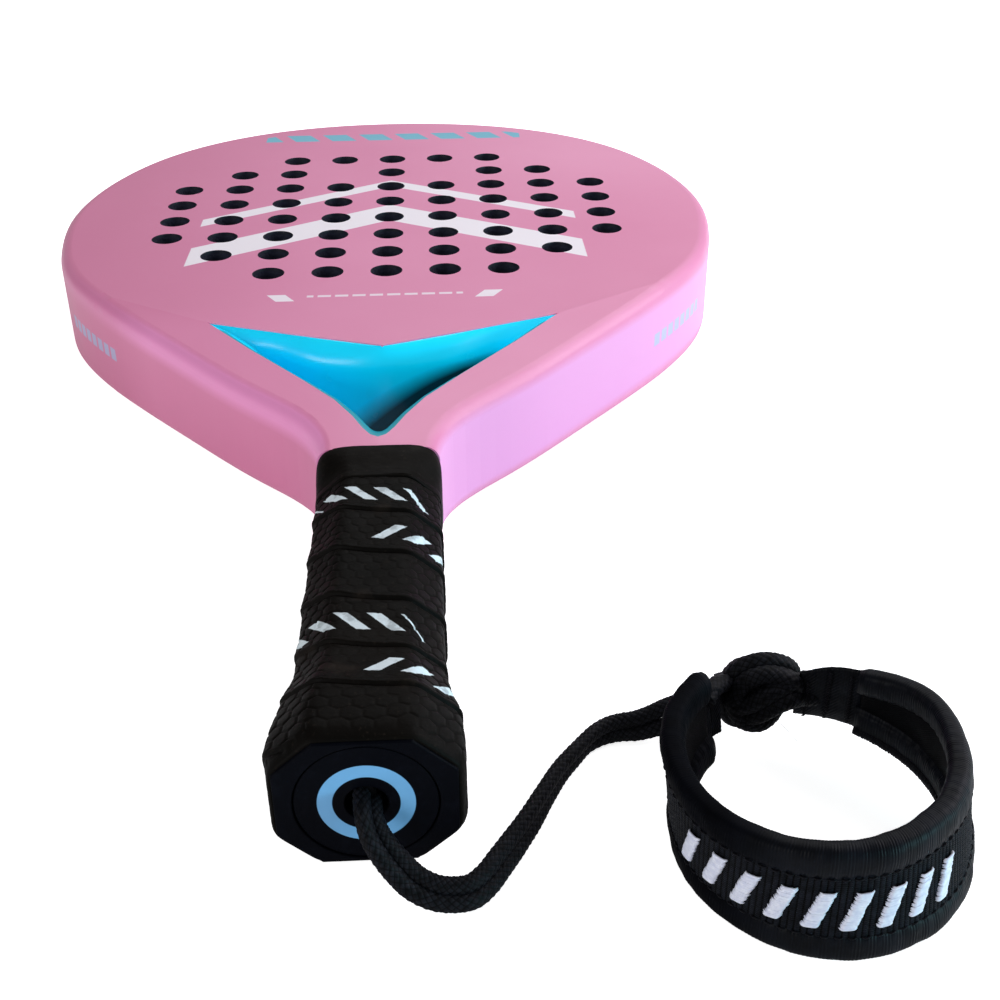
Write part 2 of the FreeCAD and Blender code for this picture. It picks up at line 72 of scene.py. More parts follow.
def arm_distance(aside, y):
    """Distance past the crease between the level face and an arm; aside is |x|."""
    return (aside - ARM_CORNER[0]) * ARM_NORMAL[0] - (y - ARM_CORNER[1]) * ARM_NORMAL[1]


# ---------------------------------------------------------------- shader arithmetic
def maths(operation, swap=False, clamp=False):
    """A Value method that adds one maths node."""
    def method(self, *others):
        terms = (self, *others)[::-1] if swap else (self, *others)
        node = self.mat.put("ShaderNodeMath", dict(enumerate(terms)),
                            operation=operation, use_clamp=clamp)
        return Value(self.mat, node.outputs[0])
    return method


class Value:
    """A float output, so that patterns can be written as plain arithmetic."""

    def __init__(self, mat, socket):
        self.mat = mat
        self.socket = socket

    __add__ = __radd__ = maths("ADD")
    __sub__ = maths("SUBTRACT")
    __rsub__ = maths("SUBTRACT", swap=True)
    __mul__ = __rmul__ = maths("MULTIPLY")
    __truediv__ = maths("DIVIDE")
    abs = maths("ABSOLUTE")
    sin = maths("SINE")
    sqrt = maths("SQRT")
    frac = maths("FRACT")
    min = maths("MINIMUM")
    max = maths("MAXIMUM")
    clamped_add = maths("ADD", clamp=True)

    def __neg__(self):
        return self * -1.0

    def clamp(self):
        return self.clamped_add(0.0)

    def below(self, limit, soft):
        """1 under the limit, fading to 0 over soft."""
        return ((limit - self) / soft + 0.5).clamp()

    def above(self, limit, soft):
        return ((self - limit) / soft + 0.5).clamp()

    def within(self, centre, half, soft):
        return (self - centre).abs().below(half, soft)

    def dashes(self, pitch, half, soft):
        """Repeating marks; half and soft are fractions of the pitch."""
        return (self / pitch).frac().within(0.5, half, soft)

    def wave(self, pitch):
        return (self * (2 * math.pi / pitch)).sin()


class Graph:
    """The node tree of a material, with its Principled BSDF."""

    def __init__(self, material):
        self.nodes = material.node_tree.nodes
        self.links = material.node_tree.links
        self.bsdf = self.nodes["Principled BSDF"]

    def put(self, kind, inputs=None, **settings):
        node = self.nodes.new(kind)
        for key, value in settings.items():
            setattr(node, key, value)
        for key, value in (inputs or {}).items():
            self.feed(node.inputs[key], value)
        return node

    def feed(self, entry, value):
        """Links a Value or a socket to an input, or sets a plain value."""
        value = getattr(value, "socket", value)
        if isinstance(value, bpy.types.NodeSocket):
            self.links.new(value, entry)
        else:
            entry.default_value = value

    def surface(self, **inputs):
        """Feeds BSDF inputs; an underscore stands for a space."""
        for key, value in inputs.items():
            self.feed(self.bsdf.inputs[key.replace("_", " ")], value)

    def parts(self, socket):
        node = self.put("ShaderNodeSeparateXYZ", {0: socket})
        return [Value(self, output) for output in node.outputs]

    def coords(self, space):
        return self.put("ShaderNodeTexCoord").outputs[space]

    def mm(self, space, axes="xyz"):
        """Chosen components of the Object or UV coordinate, in millimetres."""
        parts = self.parts(self.coords(space))
        return [parts["xyz".index(axis)] * 1000.0 for axis in axes]

    def noise(self, scale, detail):
        node = self.put("ShaderNodeTexNoise", {"Scale": scale, "Detail": detail,
                        "Roughness": 0.55, "Vector": self.coords("Object")})
        return Value(self, node.outputs["Fac"])

    def pores(self, scale):
        node = self.put("ShaderNodeTexVoronoi", {"Scale": scale, "Vector": self.coords("Object")})
        return Value(self, node.outputs["Distance"])

    def mix(self, factor, first, second):
        inputs = {"Factor": factor, 6: first, 7: second}    # 6 and 7 are the colour inputs
        return self.put("ShaderNodeMix", inputs, data_type="RGBA").outputs[2]

    def bump(self, height, distance, strength=1.0, normal=None):
        """Adds relief (distance in metres) and returns the bumped normal."""
        node = self.put("ShaderNodeBump", {"Strength": strength, "Distance": distance,
                                           "Height": height})
        if normal is not None:
            self.feed(node.inputs["Normal"], normal)
        self.surface(Normal=node.outputs[0])
        return node.outputs[0]


def srgb(*channels):
    """Linear colour from 0-255 sRGB channels."""
    parts = [channel / 255.0 for channel in channels]
    return tuple(part / 12.92 if part <= 0.04045 else ((part + 0.055) / 1.055) ** 2.4
                 for part in parts) + (1.0,)


def material(name, build):
    made = bpy.data.materials.new(name)
    made.use_nodes = True
    build(Graph(made))
    return made


# ---------------------------------------------------------------- materials
def crease_height(x, y):
    """Rounds the shallow crease between the level face and the sloping arms."""
    reach = 4.0
    near = (-arm_distance(x.abs(), y).abs() + reach).max(0.0)
    return near * near * (ARM_SLOPE / (4 * reach))


def side_strip(mat, base, aside, y, z):
    """Light blue dashed strip along both side walls of the head."""
    strip = (y.within(243.0, half=17.0, soft=0.6) * z.abs().below(2.3, soft=0.3)
             * aside.above(85.0, soft=0.5) * (y - 243.0).dashes(4.3, half=0.36, soft=0.03))
    return mat.mix(strip * 0.70, base, srgb(150, 185, 222))


def face_marks(mat, base, x, y, aside):
    """White chevrons pointing to the tip, blue bars near the tip, white marks by the throat."""
    def chevron(peak, half):
        return y.within(peak - aside * 0.62, half, soft=0.3) * aside.below(74.0, soft=0.3)

    base = mat.mix((chevron(318.0, 9.6) + chevron(356.0, 4.2)).clamp(), base,
                   srgb(240, 232, 240))
    bars = (y.within(428.0, half=5.2, soft=0.3)
            * (x + (y - 428.0) * 0.5).dashes(17.0, half=0.33, soft=0.02)
            * aside.below(59.5, soft=0.3))
    base = mat.mix(bars, base, srgb(96, 176, 200))
    dashes = (y.within(230.5, half=0.9, soft=0.2) * aside.below(27.0, soft=0.3)
              * x.dashes(6.0, half=0.38, soft=0.03))
    slants = (y.within(229.5, half=3.0, soft=0.2)
              * (aside - 36.0).within((y - 229.5) * 0.6, half=3.2, soft=0.2))
    return mat.mix((dashes * 0.8 + slants).clamp(), base, srgb(238, 226, 236))


def pink(marks):
    """Pink lacquer; marks is plain, tube (side strips) or front (printed face)."""
    def build(mat):
        x, y, z = mat.mm("Object")
        aside = x.abs()
        cloud = mat.noise(scale=18.0, detail=2.0)
        base = mat.mix((cloud - 0.35) * 1.6, srgb(216, 121, 164), srgb(222, 130, 172))
        # painted reflection of cool light: lilac on the +X walls, fading out towards the tip
        painted_wall_light = (x.above(14.0, soft=4.0) * z.abs().below(13.0, soft=3.2)
                * ((-y + 400.0) / 110.0).clamp())
        base = mat.mix(painted_wall_light * 0.56, base, srgb(226, 162, 222))
        # painted highlight: bright pink just under the upper face on the -X side
        depth = arm_distance(aside, y).max(0.0) * -ARM_SLOPE + HEAD_HALF - z
        painted_edge_highlight = (x.below(-14.0, soft=5.0) * depth.above(0.25, soft=0.5)
                    * depth.below(7.5, soft=4.0) * ((-y + 330.0) / 110.0).clamp())
        base = mat.mix(painted_edge_highlight * 0.80, base, srgb(243, 152, 209))
        # painted shade: deeper pink towards -X; painted light: paler towards the tip on the +X side
        painted_shade_left = ((-x - 20.0) / 90.0).clamp() * (y - 215.0).above(0.0, soft=20.0) * 0.65
        base = mat.mix(painted_shade_left, base, srgb(203, 107, 148))
        painted_light_tip = ((x + 10.0) / 90.0).clamp() * ((y - 300.0) / 90.0).clamp() * 0.75
        base = mat.mix(painted_light_tip, base, srgb(230, 148, 186))
        if marks == "tube":
            base = side_strip(mat, base, aside, y, z)
        else:
            if marks == "front":
                base = face_marks(mat, base, x, y, aside)
            # the edges of the drilled holes are as dark as the core
            normal_z = mat.parts(mat.put("ShaderNodeNewGeometry").outputs["True Normal"])[2]
            cut = (normal_z.abs().below(0.75, soft=0.1) * y.within(330.0, half=100.0, soft=1.0)
                   * aside.below(104.0, soft=1.0))
            base = mat.mix(cut, base, srgb(11, 16, 33))
        mat.surface(Base_Color=base, Roughness=mat.noise(scale=60.0, detail=3.0) * 0.10 + 0.40,
                    Coat_Weight=0.18, Coat_Roughness=0.22, Sheen_Weight=0.10)
        crease = mat.bump(crease_height(x, y), distance=0.001)
        grain = (mat.noise(scale=900.0, detail=2.0) * 0.6
                 + mat.noise(scale=220.0, detail=2.0) * 0.4)
        mat.bump(grain, distance=0.00004, strength=0.35, normal=crease)
    return build


def cyan(mat):
    x, y, z = mat.mm("Object")
    base = mat.mix(mat.noise(scale=25.0, detail=2.0), srgb(0, 214, 252), srgb(4, 224, 255))
    # painted shade: the liner darkens with depth below the face
    painted_depth_shade = ((-z + 12.0) / 14.0).clamp()
    base = mat.mix(painted_depth_shade * 0.26, base, srgb(0, 180, 232))
    # painted shadow: dark below a curve in x, whose soft edge narrows towards +X
    bounded = x.max(-10.0).min(26.0)
    shadow_edge = bounded * 0.70 - bounded * bounded * 0.0125 - 0.4
    dark = ((shadow_edge - z) / (bounded * -0.20 + 8.8) + 0.5).clamp()
    base = mat.mix(dark * 0.97, base, srgb(3, 32, 42))
    # painted shade: the thin lip on the handle side is darkened to a duller teal
    arm = arm_distance(x.abs(), y)
    lip = ((z.abs() - (HEAD_HALF - 1.35) + arm.max(0.0) * ARM_SLOPE).above(0.0, soft=0.3)
           * arm.above(0.6, soft=0.8) * y.below(205.0, soft=1.0))
    base = mat.mix(lip * 0.9, base, srgb(40, 138, 152))
    # a faint emission of the base colour paints extra light onto the liner
    mat.surface(Base_Color=base, Emission_Color=base, Emission_Strength=0.10,
                Roughness=mat.noise(scale=120.0, detail=2.0) * 0.08 + 0.22,
                Specular_IOR_Level=0.35, Coat_Weight=0.10, Coat_Roughness=0.12)
    mat.bump(mat.noise(scale=150.0, detail=2.0), distance=0.00005, strength=0.4)


def speckled(dark, light, scale, detail, distance, strength, pores=None, grain=None, **inputs):
    """A cloud of two colours under pores of one scale, or grain of a scale and a detail."""
    def build(mat):
        cloud = mat.noise(scale, detail)
        mat.surface(Base_Color=mat.mix(cloud, srgb(*dark), srgb(*light)), **inputs)
        relief = mat.pores(pores) if pores else mat.noise(*grain)
        mat.bump(relief, distance, strength)
    return build


def cap(mat):
    x, y, z = mat.mm("Object")
    radius = (x * x + z * z).sqrt()
    ring = radius.within(8.6, half=1.55, soft=0.15) * y.below(1.2, soft=0.2)
    dust = mat.noise(scale=300.0, detail=5.0)
    base = mat.mix((dust - 0.52) * 3.0, srgb(5, 6, 12), srgb(11, 13, 21))
    base = mat.mix(ring * (dust * 0.12 + 0.9).clamp(), base, srgb(120, 178, 226))
    mat.surface(Base_Color=base, IOR=1.10,
                Roughness=mat.noise(scale=90.0, detail=3.0) * 0.18 + 0.42)
    bevel = mat.put("ShaderNodeBevel", {"Radius": 0.0006}, samples=6)
    mat.bump(mat.noise(scale=700.0, detail=3.0), distance=0.00005, strength=0.5,
             normal=bevel.outputs[0])


def steel(mat):
    cloud = mat.noise(scale=200.0, detail=3.0)
    mat.surface(Metallic=1.0, Base_Color=mat.mix(cloud, srgb(150, 152, 156), srgb(190, 192, 196)),
                Roughness=mat.noise(scale=300.0, detail=2.0) * 0.2 + 0.25)
    mat.bump(mat.noise(scale=1500.0, detail=2.0), distance=0.00002, strength=0.4)


# rows of slanted bars on the grip: first and last U, V at U = 0, half height, lean, slope of row
GRIP_BARS = [
    (-19.0, 12.5, 100.2, 3.3, 0.9, -0.11),
    (2.4, 26.0, 81.5, 3.3, -0.9, -0.16),
    (-24.0, 11.0, 42.8, 3.2, 0.9, -0.11),
    (1.6, 26.0, 25.6, 3.0, -0.9, -0.16),
]


def grip(mat):
    around, along = mat.mm("UV", "xy")
    cloud = mat.noise(scale=40.0, detail=4.0)
    spots = mat.noise(scale=900.0, detail=3.0)
    scuff = ((mat.noise(scale=70.0, detail=5.0) - 0.60) * 7.0).clamp()
    base = mat.mix((cloud - 0.3) * 1.4, srgb(7, 6, 5), srgb(19, 15, 12))
    base = mat.mix((spots - 0.62) * 4.0, base, srgb(40, 33, 28))
    base = mat.mix(scuff * 0.5, base, srgb(44, 37, 32))

    def bars(first, last, start, half, lean, slope):
        rise = along - (around * slope + start)
        leaned = around + rise * lean
        return (rise.abs().below(half, soft=0.15) * leaned.above(first, soft=0.2)
                * leaned.below(last, soft=0.2) * leaned.dashes(7.9, half=0.21, soft=0.03))

    printed = bars(*GRIP_BARS[0])
    for row in GRIP_BARS[1:]:
        printed = printed + bars(*row)
    wear_and_shade = ((mat.noise(scale=260.0, detail=4.0) - 0.36) * 9.0).clamp()
    base = mat.mix(printed.clamp() * (wear_and_shade * 0.35 + 0.65), base, srgb(208, 220, 226))
    mat.surface(Base_Color=base, IOR=1.11,
                Roughness=mat.noise(scale=150.0, detail=4.0) * 0.22 + 0.40)
    grain = mat.noise(scale=1100.0, detail=5.0) * 0.7 + mat.noise(scale=260.0, detail=3.0) * 0.5
    mat.bump(grain, distance=0.00012, strength=0.7)


def cord(mat):
    around, along = mat.mm("UV", "xy")
    per_turn = PLAIT_STRANDS / (2 * math.pi * TURN_UV)
    per_pitch = 1 / PLAIT_PITCH
    cloud = mat.noise(scale=700.0, detail=4.0)
    rising = (around * per_turn + along * per_pitch).frac()
    falling = (around * per_turn - along * per_pitch).frac()
    # painted shade in the crevices between the plait's yarns
    crevice_shade = ((rising - 0.5).abs().above(0.40, soft=0.06)
            + (falling - 0.5).abs().above(0.40, soft=0.06)).clamp()
    base = mat.mix((cloud - 0.35) * 2.0, srgb(9, 10, 13), srgb(34, 35, 42))
    mat.surface(Base_Color=mat.mix(crevice_shade * 0.85, base, srgb(2, 2, 3)), IOR=1.16,
                Roughness=mat.noise(scale=400.0, detail=3.0) * 0.25 + 0.40)
    mat.bump(mat.noise(scale=2600.0, detail=3.0), distance=0.0001, strength=0.8)


def satin(mat):
    (along,) = mat.mm("UV", "x")
    (x,) = mat.mm("Object", "x")
    rib = along.wave(0.62)
    cloud = mat.noise(scale=160.0, detail=3.0)
    # painted shade: towards -X, below x = 76 mm, the binding is darker, rougher and less glossy
    wear_and_shade = x.below(76.0, soft=10.0)
    base = mat.mix((cloud - 0.3) * 1.6 + rib * 0.10, srgb(5, 6, 10), srgb(16, 19, 28))
    rough = mat.noise(scale=220.0, detail=3.0) * 0.2 + wear_and_shade * 0.15 + 0.36
    mat.surface(Base_Color=mat.mix(wear_and_shade * 0.6, base, srgb(4, 4, 6)), Roughness=rough,
                IOR=wear_and_shade * -0.09 + 1.17)
    mat.bump(rib * 0.4 + mat.noise(scale=1800.0, detail=2.0) * 0.5,
             distance=0.00006, strength=0.7)


def webbing(mat):
    along, across = mat.mm("UV", "xy")
    yarn = across.wave(0.5)
    # painted shade in the grooves between the ribs
    groove_shade = ((along / 1.30).frac() - 0.5).abs().above(0.36, soft=0.08)
    cloud = mat.noise(scale=500.0, detail=3.0)
    base = mat.mix((cloud - 0.3) * 1.5 + yarn * 0.10, srgb(12, 14, 18), srgb(34, 37, 46))
    mat.surface(Base_Color=mat.mix(groove_shade * 0.9, base, srgb(2, 2, 3)),
                Roughness=cloud * 0.2 + 0.45, IOR=1.14)
    mat.bump(yarn, distance=0.00012, strength=0.8)


def lining(mat):
    along, across = mat.mm("UV", "xy")
    knit = along.wave(0.8) * across.wave(0.6)
    cloud = mat.noise(scale=90.0, detail=4.0)
    mat.surface(Base_Color=mat.mix((cloud - 0.35) * 1.8, srgb(4, 4, 6), srgb(12, 11, 14)),
                Roughness=cloud * 0.25 + 0.45, IOR=1.10)
    mat.bump(knit * 0.4 + mat.noise(scale=1500.0, detail=3.0) * 0.6,
             distance=0.0001, strength=0.7)


def white_thread(mat):
    cloud = mat.noise(scale=900.0, detail=3.0)
    mat.surface(Base_Color=mat.mix((cloud - 0.3) * 1.5, srgb(206, 210, 232), srgb(244, 246, 255)),
                Roughness=0.42, Sheen_Weight=0.3)
    mat.bump(mat.noise(scale=3000.0, detail=2.0), distance=0.00008, strength=0.7)


foam = speckled(dark=(8, 12, 28), light=(24, 32, 60), scale=500.0, detail=4.0,
                pores=900.0, distance=0.0003, strength=0.6, Roughness=0.75)
handle_foam = speckled(dark=(196, 190, 176), light=(214, 208, 196), scale=200.0, detail=4.0,
                       pores=700.0, distance=0.0003, strength=0.6, Roughness=0.85)
cushion = speckled(dark=(18, 16, 15), light=(30, 27, 25), scale=120.0, detail=4.0,
                   pores=800.0, distance=0.0002, strength=0.5, Roughness=0.7)
pad = speckled(dark=(14, 14, 17), light=(26, 26, 30), scale=300.0, detail=3.0,
               grain=(900.0, 3.0), distance=0.0002, strength=0.6, Roughness=0.8)
black_thread = speckled(dark=(8, 8, 11), light=(24, 24, 30), scale=900.0, detail=3.0,
                        grain=(3000.0, 2.0), distance=0.00008, strength=0.7,
                        IOR=1.15, Roughness=0.45)

MATERIALS = {
    "pink": material("pink_lacquer", pink("plain")),
    "pink_tube": material("pink_lacquer_side_strip", pink("tube")),
    "pink_front": material("pink_lacquer_front_marks", pink("front")),
    "cyan": material("cyan_gloss", cyan),
    "foam": material("core_foam", foam),
    "handle_foam": material("handle_foam", handle_foam),
    "cap": material("cap_plastic", cap),
    "steel": material("steel_pin", steel),
    "cushion": material("cushion_grip", cushion),
    "grip": material("black_grip", grip),
    "cord": material("braided_cord", cord),
    "pad": material("band_pad", pad),
    "lining": material("band_lining", lining),
    "webbing": material("ribbed_webbing", webbing),
    "satin": material("satin_binding", satin),
    "white": material("white_thread", white_thread),
    "black": material("black_thread", black_thread),
}

# material of every CAD piece
CAD_PIECES = {
    "pink": "back_face_sheet throat_bridge",
    "pink_tube": "frame_tube",
    "pink_front": "front_face_sheet",
    "cyan": "throat_liner",
    "foam": "foam_core",
    "handle_foam": "pallet_front pallet_back",
    "cap": "butt_cap cap_disc",
    "steel": "cord_crossbar",
    "cushion": "base_grip",
    "grip": "overgrip grip_collar",
    "cord": "cord_bight cord_neck cord_run_1 cord_run_2 cord_run_3 cord_knot",
    "pad": "band_foam",
    "lining": "band_lining",
    "webbing": "band_webbing",
    "satin": "band_bottom_binding band_top_binding band_tab_right band_tab_left",
    "white": "band_embroidery",
    "black": "tab_stitching",
}
MATERIAL_OF = {piece: key for key, pieces in CAD_PIECES.items() for piece in pieces.split()}
for piece, node in NODES.items():
    node.data.materials.clear()
    node.data.materials.append(MATERIALS[MATERIAL_OF[piece]])


# ---------------------------------------------------------------- curves and noise
def ease(part):
    return part * part * (3 - 2 * part)


def smoothstep(low, high, x):
    return ease(np.clip((np.asarray(x, float) - low) / (high - low), 0, 1))


def unit_rows(vectors):
    return vectors / np.linalg.norm(vectors, axis=1)[:, None]


def eased(x, stations, values, reach, count, sigma):
    """Table lookup with its corners rounded by a Gaussian window."""
    shifts = np.linspace(-reach, reach, count)
    weights = np.exp(-0.5 * (shifts / sigma) ** 2)
    weights /= weights.sum()
    return sum(weight * np.interp(x + shift, stations, values)
               for weight, shift in zip(weights, shifts))


def smooth_ring(points, sigma):
    """Circular Gaussian smoothing of evenly spaced points, sigma in samples."""
    count = len(points)
    steps = np.arange(count)
    steps = np.minimum(steps, count - steps)
    kernel = np.exp(-0.5 * (steps / sigma) ** 2)
    kernel /= kernel.sum()
    spectrum = np.fft.fft(kernel)[:, None]
    return np.real(np.fft.ifft(np.fft.fft(points, axis=0) * spectrum, axis=0))


def spline(points, step):
    """Centripetal Catmull-Rom through points, resampled evenly; returns points and arc."""
    points = np.asarray(points, float)
    padded = np.vstack([2 * points[0] - points[1], points, 2 * points[-1] - points[-2]])

    def between(time, start, end, first, last):
        return (end - time) / (end - start) * first + (time - start) / (end - start) * last

    dense = []
    for i in range(len(padded) - 3):
        four = padded[i:i + 4]
        gaps = np.maximum(1e-6, np.linalg.norm(np.diff(four, axis=0), axis=1)) ** 0.5
        knots = np.r_[0, np.cumsum(gaps)]
        time = np.linspace(knots[1], knots[2], 40, endpoint=False)[:, None]
        pairs = [between(time, knots[k], knots[k + 1], four[k], four[k + 1]) for k in range(3)]
        spans = [between(time, knots[k], knots[k + 2], pairs[k], pairs[k + 1]) for k in range(2)]
        dense.append(between(time, knots[1], knots[2], *spans))
    dense = np.vstack(dense + [points[-1]])
    dense_arc = np.r_[0, np.cumsum(np.linalg.norm(np.diff(dense, axis=0), axis=1))]
    count = max(4, int(round(dense_arc[-1] / step)) + 1)
    arc = np.linspace(0, dense_arc[-1], count)
    return np.stack([np.interp(arc, dense_arc, dense[:, k]) for k in range(3)], -1), arc


def frames(path):
    """Tangent, side and lift vectors, carried along a path from +Z without twist."""
    tangents = unit_rows(np.gradient(path, axis=0))
    lift = np.array([0.0, 0.0, 1.0])
    lifts = []
    for tangent in tangents:
        lift = lift - tangent * np.dot(lift, tangent)
        lift = lift / np.linalg.norm(lift)
        lifts.append(lift)
    lifts = np.array(lifts)
    return tangents, np.cross(tangents, lifts), lifts


def line_noise(x, seed, scale):
    """Smooth seeded noise along a line, -1 to 1, in three octaves."""
    table = np.random.default_rng(seed).uniform(-1, 1, 4096)
    x = np.asarray(x, float) / scale
    total, weight, weights = 0, 1.0, 0
    for _ in range(3):
        i = np.floor(x).astype(int)
        part = ease(x - i)
        total = total + weight * (table[i % 4096] * (1 - part) + table[(i + 1) % 4096] * part)
        weights += weight
        weight *= 0.5
        x = x * 2 + 17.3
    return total / weights


def sheet_noise(x, y, seed, scale):
    """Smooth seeded noise over a plane, -1 to 1, in three octaves."""
    table = np.random.default_rng(seed).uniform(-1, 1, (256, 256))
    x = np.asarray(x, float) / scale
    y = np.asarray(y, float) / scale
    total, weight, weights = 0, 1.0, 0
    for _ in range(3):
        i = np.floor(x).astype(int)
        j = np.floor(y).astype(int)
        part_x = ease(x - i)
        part_y = ease(y - j)
        low, high = (table[i % 256, k % 256] * (1 - part_x)
                     + table[(i + 1) % 256, k % 256] * part_x for k in (j, j + 1))
        total = total + weight * (low * (1 - part_y) + high * part_y)
        weights += weight
        weight *= 0.5
        x = x * 2 + 31.7
        y = y * 2 + 11.9
    return total / weights


def bell(x, centre, width):
    return np.exp(-((x - centre) / width) ** 2)


# ---------------------------------------------------------------- meshes
def mesh_object(name, verts, faces, key, uvs):
    """Smooth object from vertices and per-vertex UVs, both in millimetres."""
    mesh = bpy.data.meshes.new(name)
    mesh.from_pydata([tuple(vert) for vert in np.asarray(verts, float) * MM], [],
                     [tuple(int(i) for i in face) for face in faces])
    layer = mesh.uv_layers.new(name="UVMap")
    loop_verts = np.zeros(len(mesh.loops), np.int32)
    mesh.loops.foreach_get("vertex_index", loop_verts)
    loop_uvs = np.asarray(uvs, float)[loop_verts] * MM
    layer.data.foreach_set("uv", loop_uvs.astype(np.float32).ravel())
    mesh.polygons.foreach_set("use_smooth", [True] * len(mesh.polygons))
    mesh.materials.append(MATERIALS[key])
    mesh.validate()
    mesh.update()
    obj = bpy.data.objects.new(name, mesh)
    bpy.context.scene.collection.objects.link(obj)
    return obj


def attach(obj, body=None, replaces=()):
    if body:
        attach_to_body(obj, body)
    if replaces:
        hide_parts(*replaces)


def blend(obj):
    """Bakes the piece's transform into its mesh."""
    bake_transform(obj)


def grid_faces(rows, columns, closed=False):
    """Quads between rings of vertices; closed joins the last ring to the first."""
    faces = []
    for i in range(rows if closed else rows - 1):
        here = i * columns
        there = (i + 1) % rows * columns
        for j in range(columns):
            k = (j + 1) % columns
            faces.append((here + j, there + j, there + k, here + k))
    return faces


def orient(verts, faces):
    """Turns all faces of a closed mesh outward."""
    volume = 0.0
    for corners in (3, 4):
        group = np.array([face for face in faces if len(face) == corners], int)
        if len(group):
            for j in range(1, corners - 1):
                normals = np.cross(verts[group[:, j]], verts[group[:, j + 1]])
                volume += np.einsum("ij,ij->i", verts[group[:, 0]], normals).sum()
    return faces if volume > 0 else [face[::-1] for face in faces]


def loft(name, rings, key, uvs):
    """A closed skin through rings of points, the last joined to the first."""
    verts = np.vstack(rings)
    faces = orient(verts, grid_faces(len(rings), len(rings[0]), closed=True))
    return mesh_object(name, verts, faces, key, uvs)


def tube(path, arc, radius, sides, height=None, flat=1.0, axes=None):
    """Points and UVs of a tube; flat squeezes it along its lift axis."""
    _, across, lift = axes if axes is not None else frames(path)
    angle = np.linspace(0, 2 * np.pi, sides, endpoint=False)
    relief = height(arc[:, None], angle[None, :]) if height is not None else 0.0
    reach = np.reshape(radius, (-1, 1)) + relief + np.zeros((len(arc), 1))
    points = (path[:, None, :] + (reach * np.cos(angle))[..., None] * across[:, None, :]
              + (reach * flat * np.sin(angle))[..., None] * lift[:, None, :])
    uvs = np.stack(np.broadcast_arrays(angle[None, :] * TURN_UV, arc[:, None]), -1)
    return points, uvs


def capped(points, uvs):
    """Vertices, UVs and faces of a tube with a fan over each end."""
    rings, sides = points.shape[:2]
    verts = np.vstack([points.reshape(-1, 3), points[0].mean(0), points[-1].mean(0)])
    uvs = np.vstack([uvs.reshape(-1, 2), uvs[0].mean(0), uvs[-1].mean(0)])
    faces = grid_faces(rings, sides)
    first = rings * sides
    last_ring = first - sides
    for j in range(sides):
        k = (j + 1) % sides
        faces.append((first, j, k))
        faces.append((first + 1, last_ring + k, last_ring + j))
    return verts, uvs, orient(verts, faces)


def tubes_object(name, tubes, key):
    """One mesh of several capped tubes."""
    verts, uvs, faces, count = [], [], [], 0
    for points, point_uvs in tubes:
        tube_verts, tube_uvs, tube_faces = capped(points, point_uvs)
        verts.append(tube_verts)
        uvs.append(tube_uvs)
        faces += [tuple(count + i for i in face) for face in tube_faces]
        count += len(tube_verts)
    return mesh_object(name, np.vstack(verts), faces, key, np.vstack(uvs))


def plait(arc, angle):
    """Height of a tubular plait: two families of yarns crossing over and under."""
    turn = angle / (2 * np.pi) * PLAIT_STRANDS
    rising = turn + arc / PLAIT_PITCH
    falling = turn - arc / PLAIT_PITCH
    rising_on_top = (np.floor(rising) + np.floor(falling)) % 2 > 0.5

    def yarn(across, along):
        across = across - np.floor(across)
        along = along - np.floor(along)
        round_top = np.sqrt(np.clip(1 - (2 * across - 1) ** 2, 0, 1))
        return round_top * (0.55 + 0.45 * np.sin(np.pi * along))

    return PLAIT_DEPTH * (np.where(rising_on_top, yarn(rising, falling),
                                   yarn(falling, rising)) - 0.6)


# ---------------------------------------------------------------- overgrip
# y, half width and half height of the wound grip
GRIP_STATIONS = np.array([
    (0.9, 19.7, 16.8), (3, 20.5, 17.65), (7, 20.85, 18.1), (13, 20.8, 18.1),
    (20, 19.75, 17.3), (26.5, 18.5, 16.25), (34, 17.05, 15.1), (124, 16.95, 15.0),
])
# the same columns for the lip at the butt end, and for the inner wall back down the sleeve
GRIP_LIP = [(0.75, 18.9, 16.0), (0.55, 19.35, 16.45), (0.8, 19.75, 16.85),
            (1.5, 20.05, 17.15), (2.3, 20.25, 17.4)]
GRIP_INSIDE = [(110.6, 16.0, 14.1), (90.0, 16.0, 14.1), (34.0, 16.1, 14.2),
               (20.0, 18.6, 16.1), (7.0, 19.4, 16.6), (1.6, 18.8, 15.9)]
# y of each lapped tape edge on the upper side
TAPE_EDGES = np.array([-20.0, -1.5, 17.1, 33.5, 52.0, 72.2, 91.7, 110.0, 128.5, 147.0])
TAPE_WIDTH = 18.7
TAPE_TILT = 12.0        # how far an edge climbs on the lower side
SCALE_PITCH = 3.95      # embossed hexagons, 28 around the grip
OCTAGON_ROUND = 1.5


def octagon(half_x, half_z, count):
    """Rounded octagon from its top centre towards +X: points, normals, signed arc and girth."""
    flat_x, flat_z = 0.53 * half_x, 0.50 * half_z
    corners = np.array([
        (0, half_z), (flat_x, half_z), (half_x, flat_z), (half_x, -flat_z), (flat_x, -half_z),
        (-flat_x, -half_z), (-half_x, -flat_z), (-half_x, flat_z), (-flat_x, half_z),
        (0, half_z)], float)
    corner_arc = np.r_[0, np.cumsum(np.linalg.norm(np.diff(corners, axis=0), axis=1))]
    girth = corner_arc[-1]
    arc = np.arange(count) / count * girth
    points = np.stack([np.interp(arc, corner_arc, corners[:, k]) for k in (0, 1)], -1)
    points = smooth_ring(points, OCTAGON_ROUND / (girth / count))
    tangents = unit_rows(np.roll(points, -1, 0) - np.roll(points, 1, 0))
    normals = np.c_[-tangents[:, 1], tangents[:, 0]]
    normals *= np.sign((normals * points).sum(1).mean())
    return points, normals, np.where(arc > girth / 2, arc - girth, arc), girth


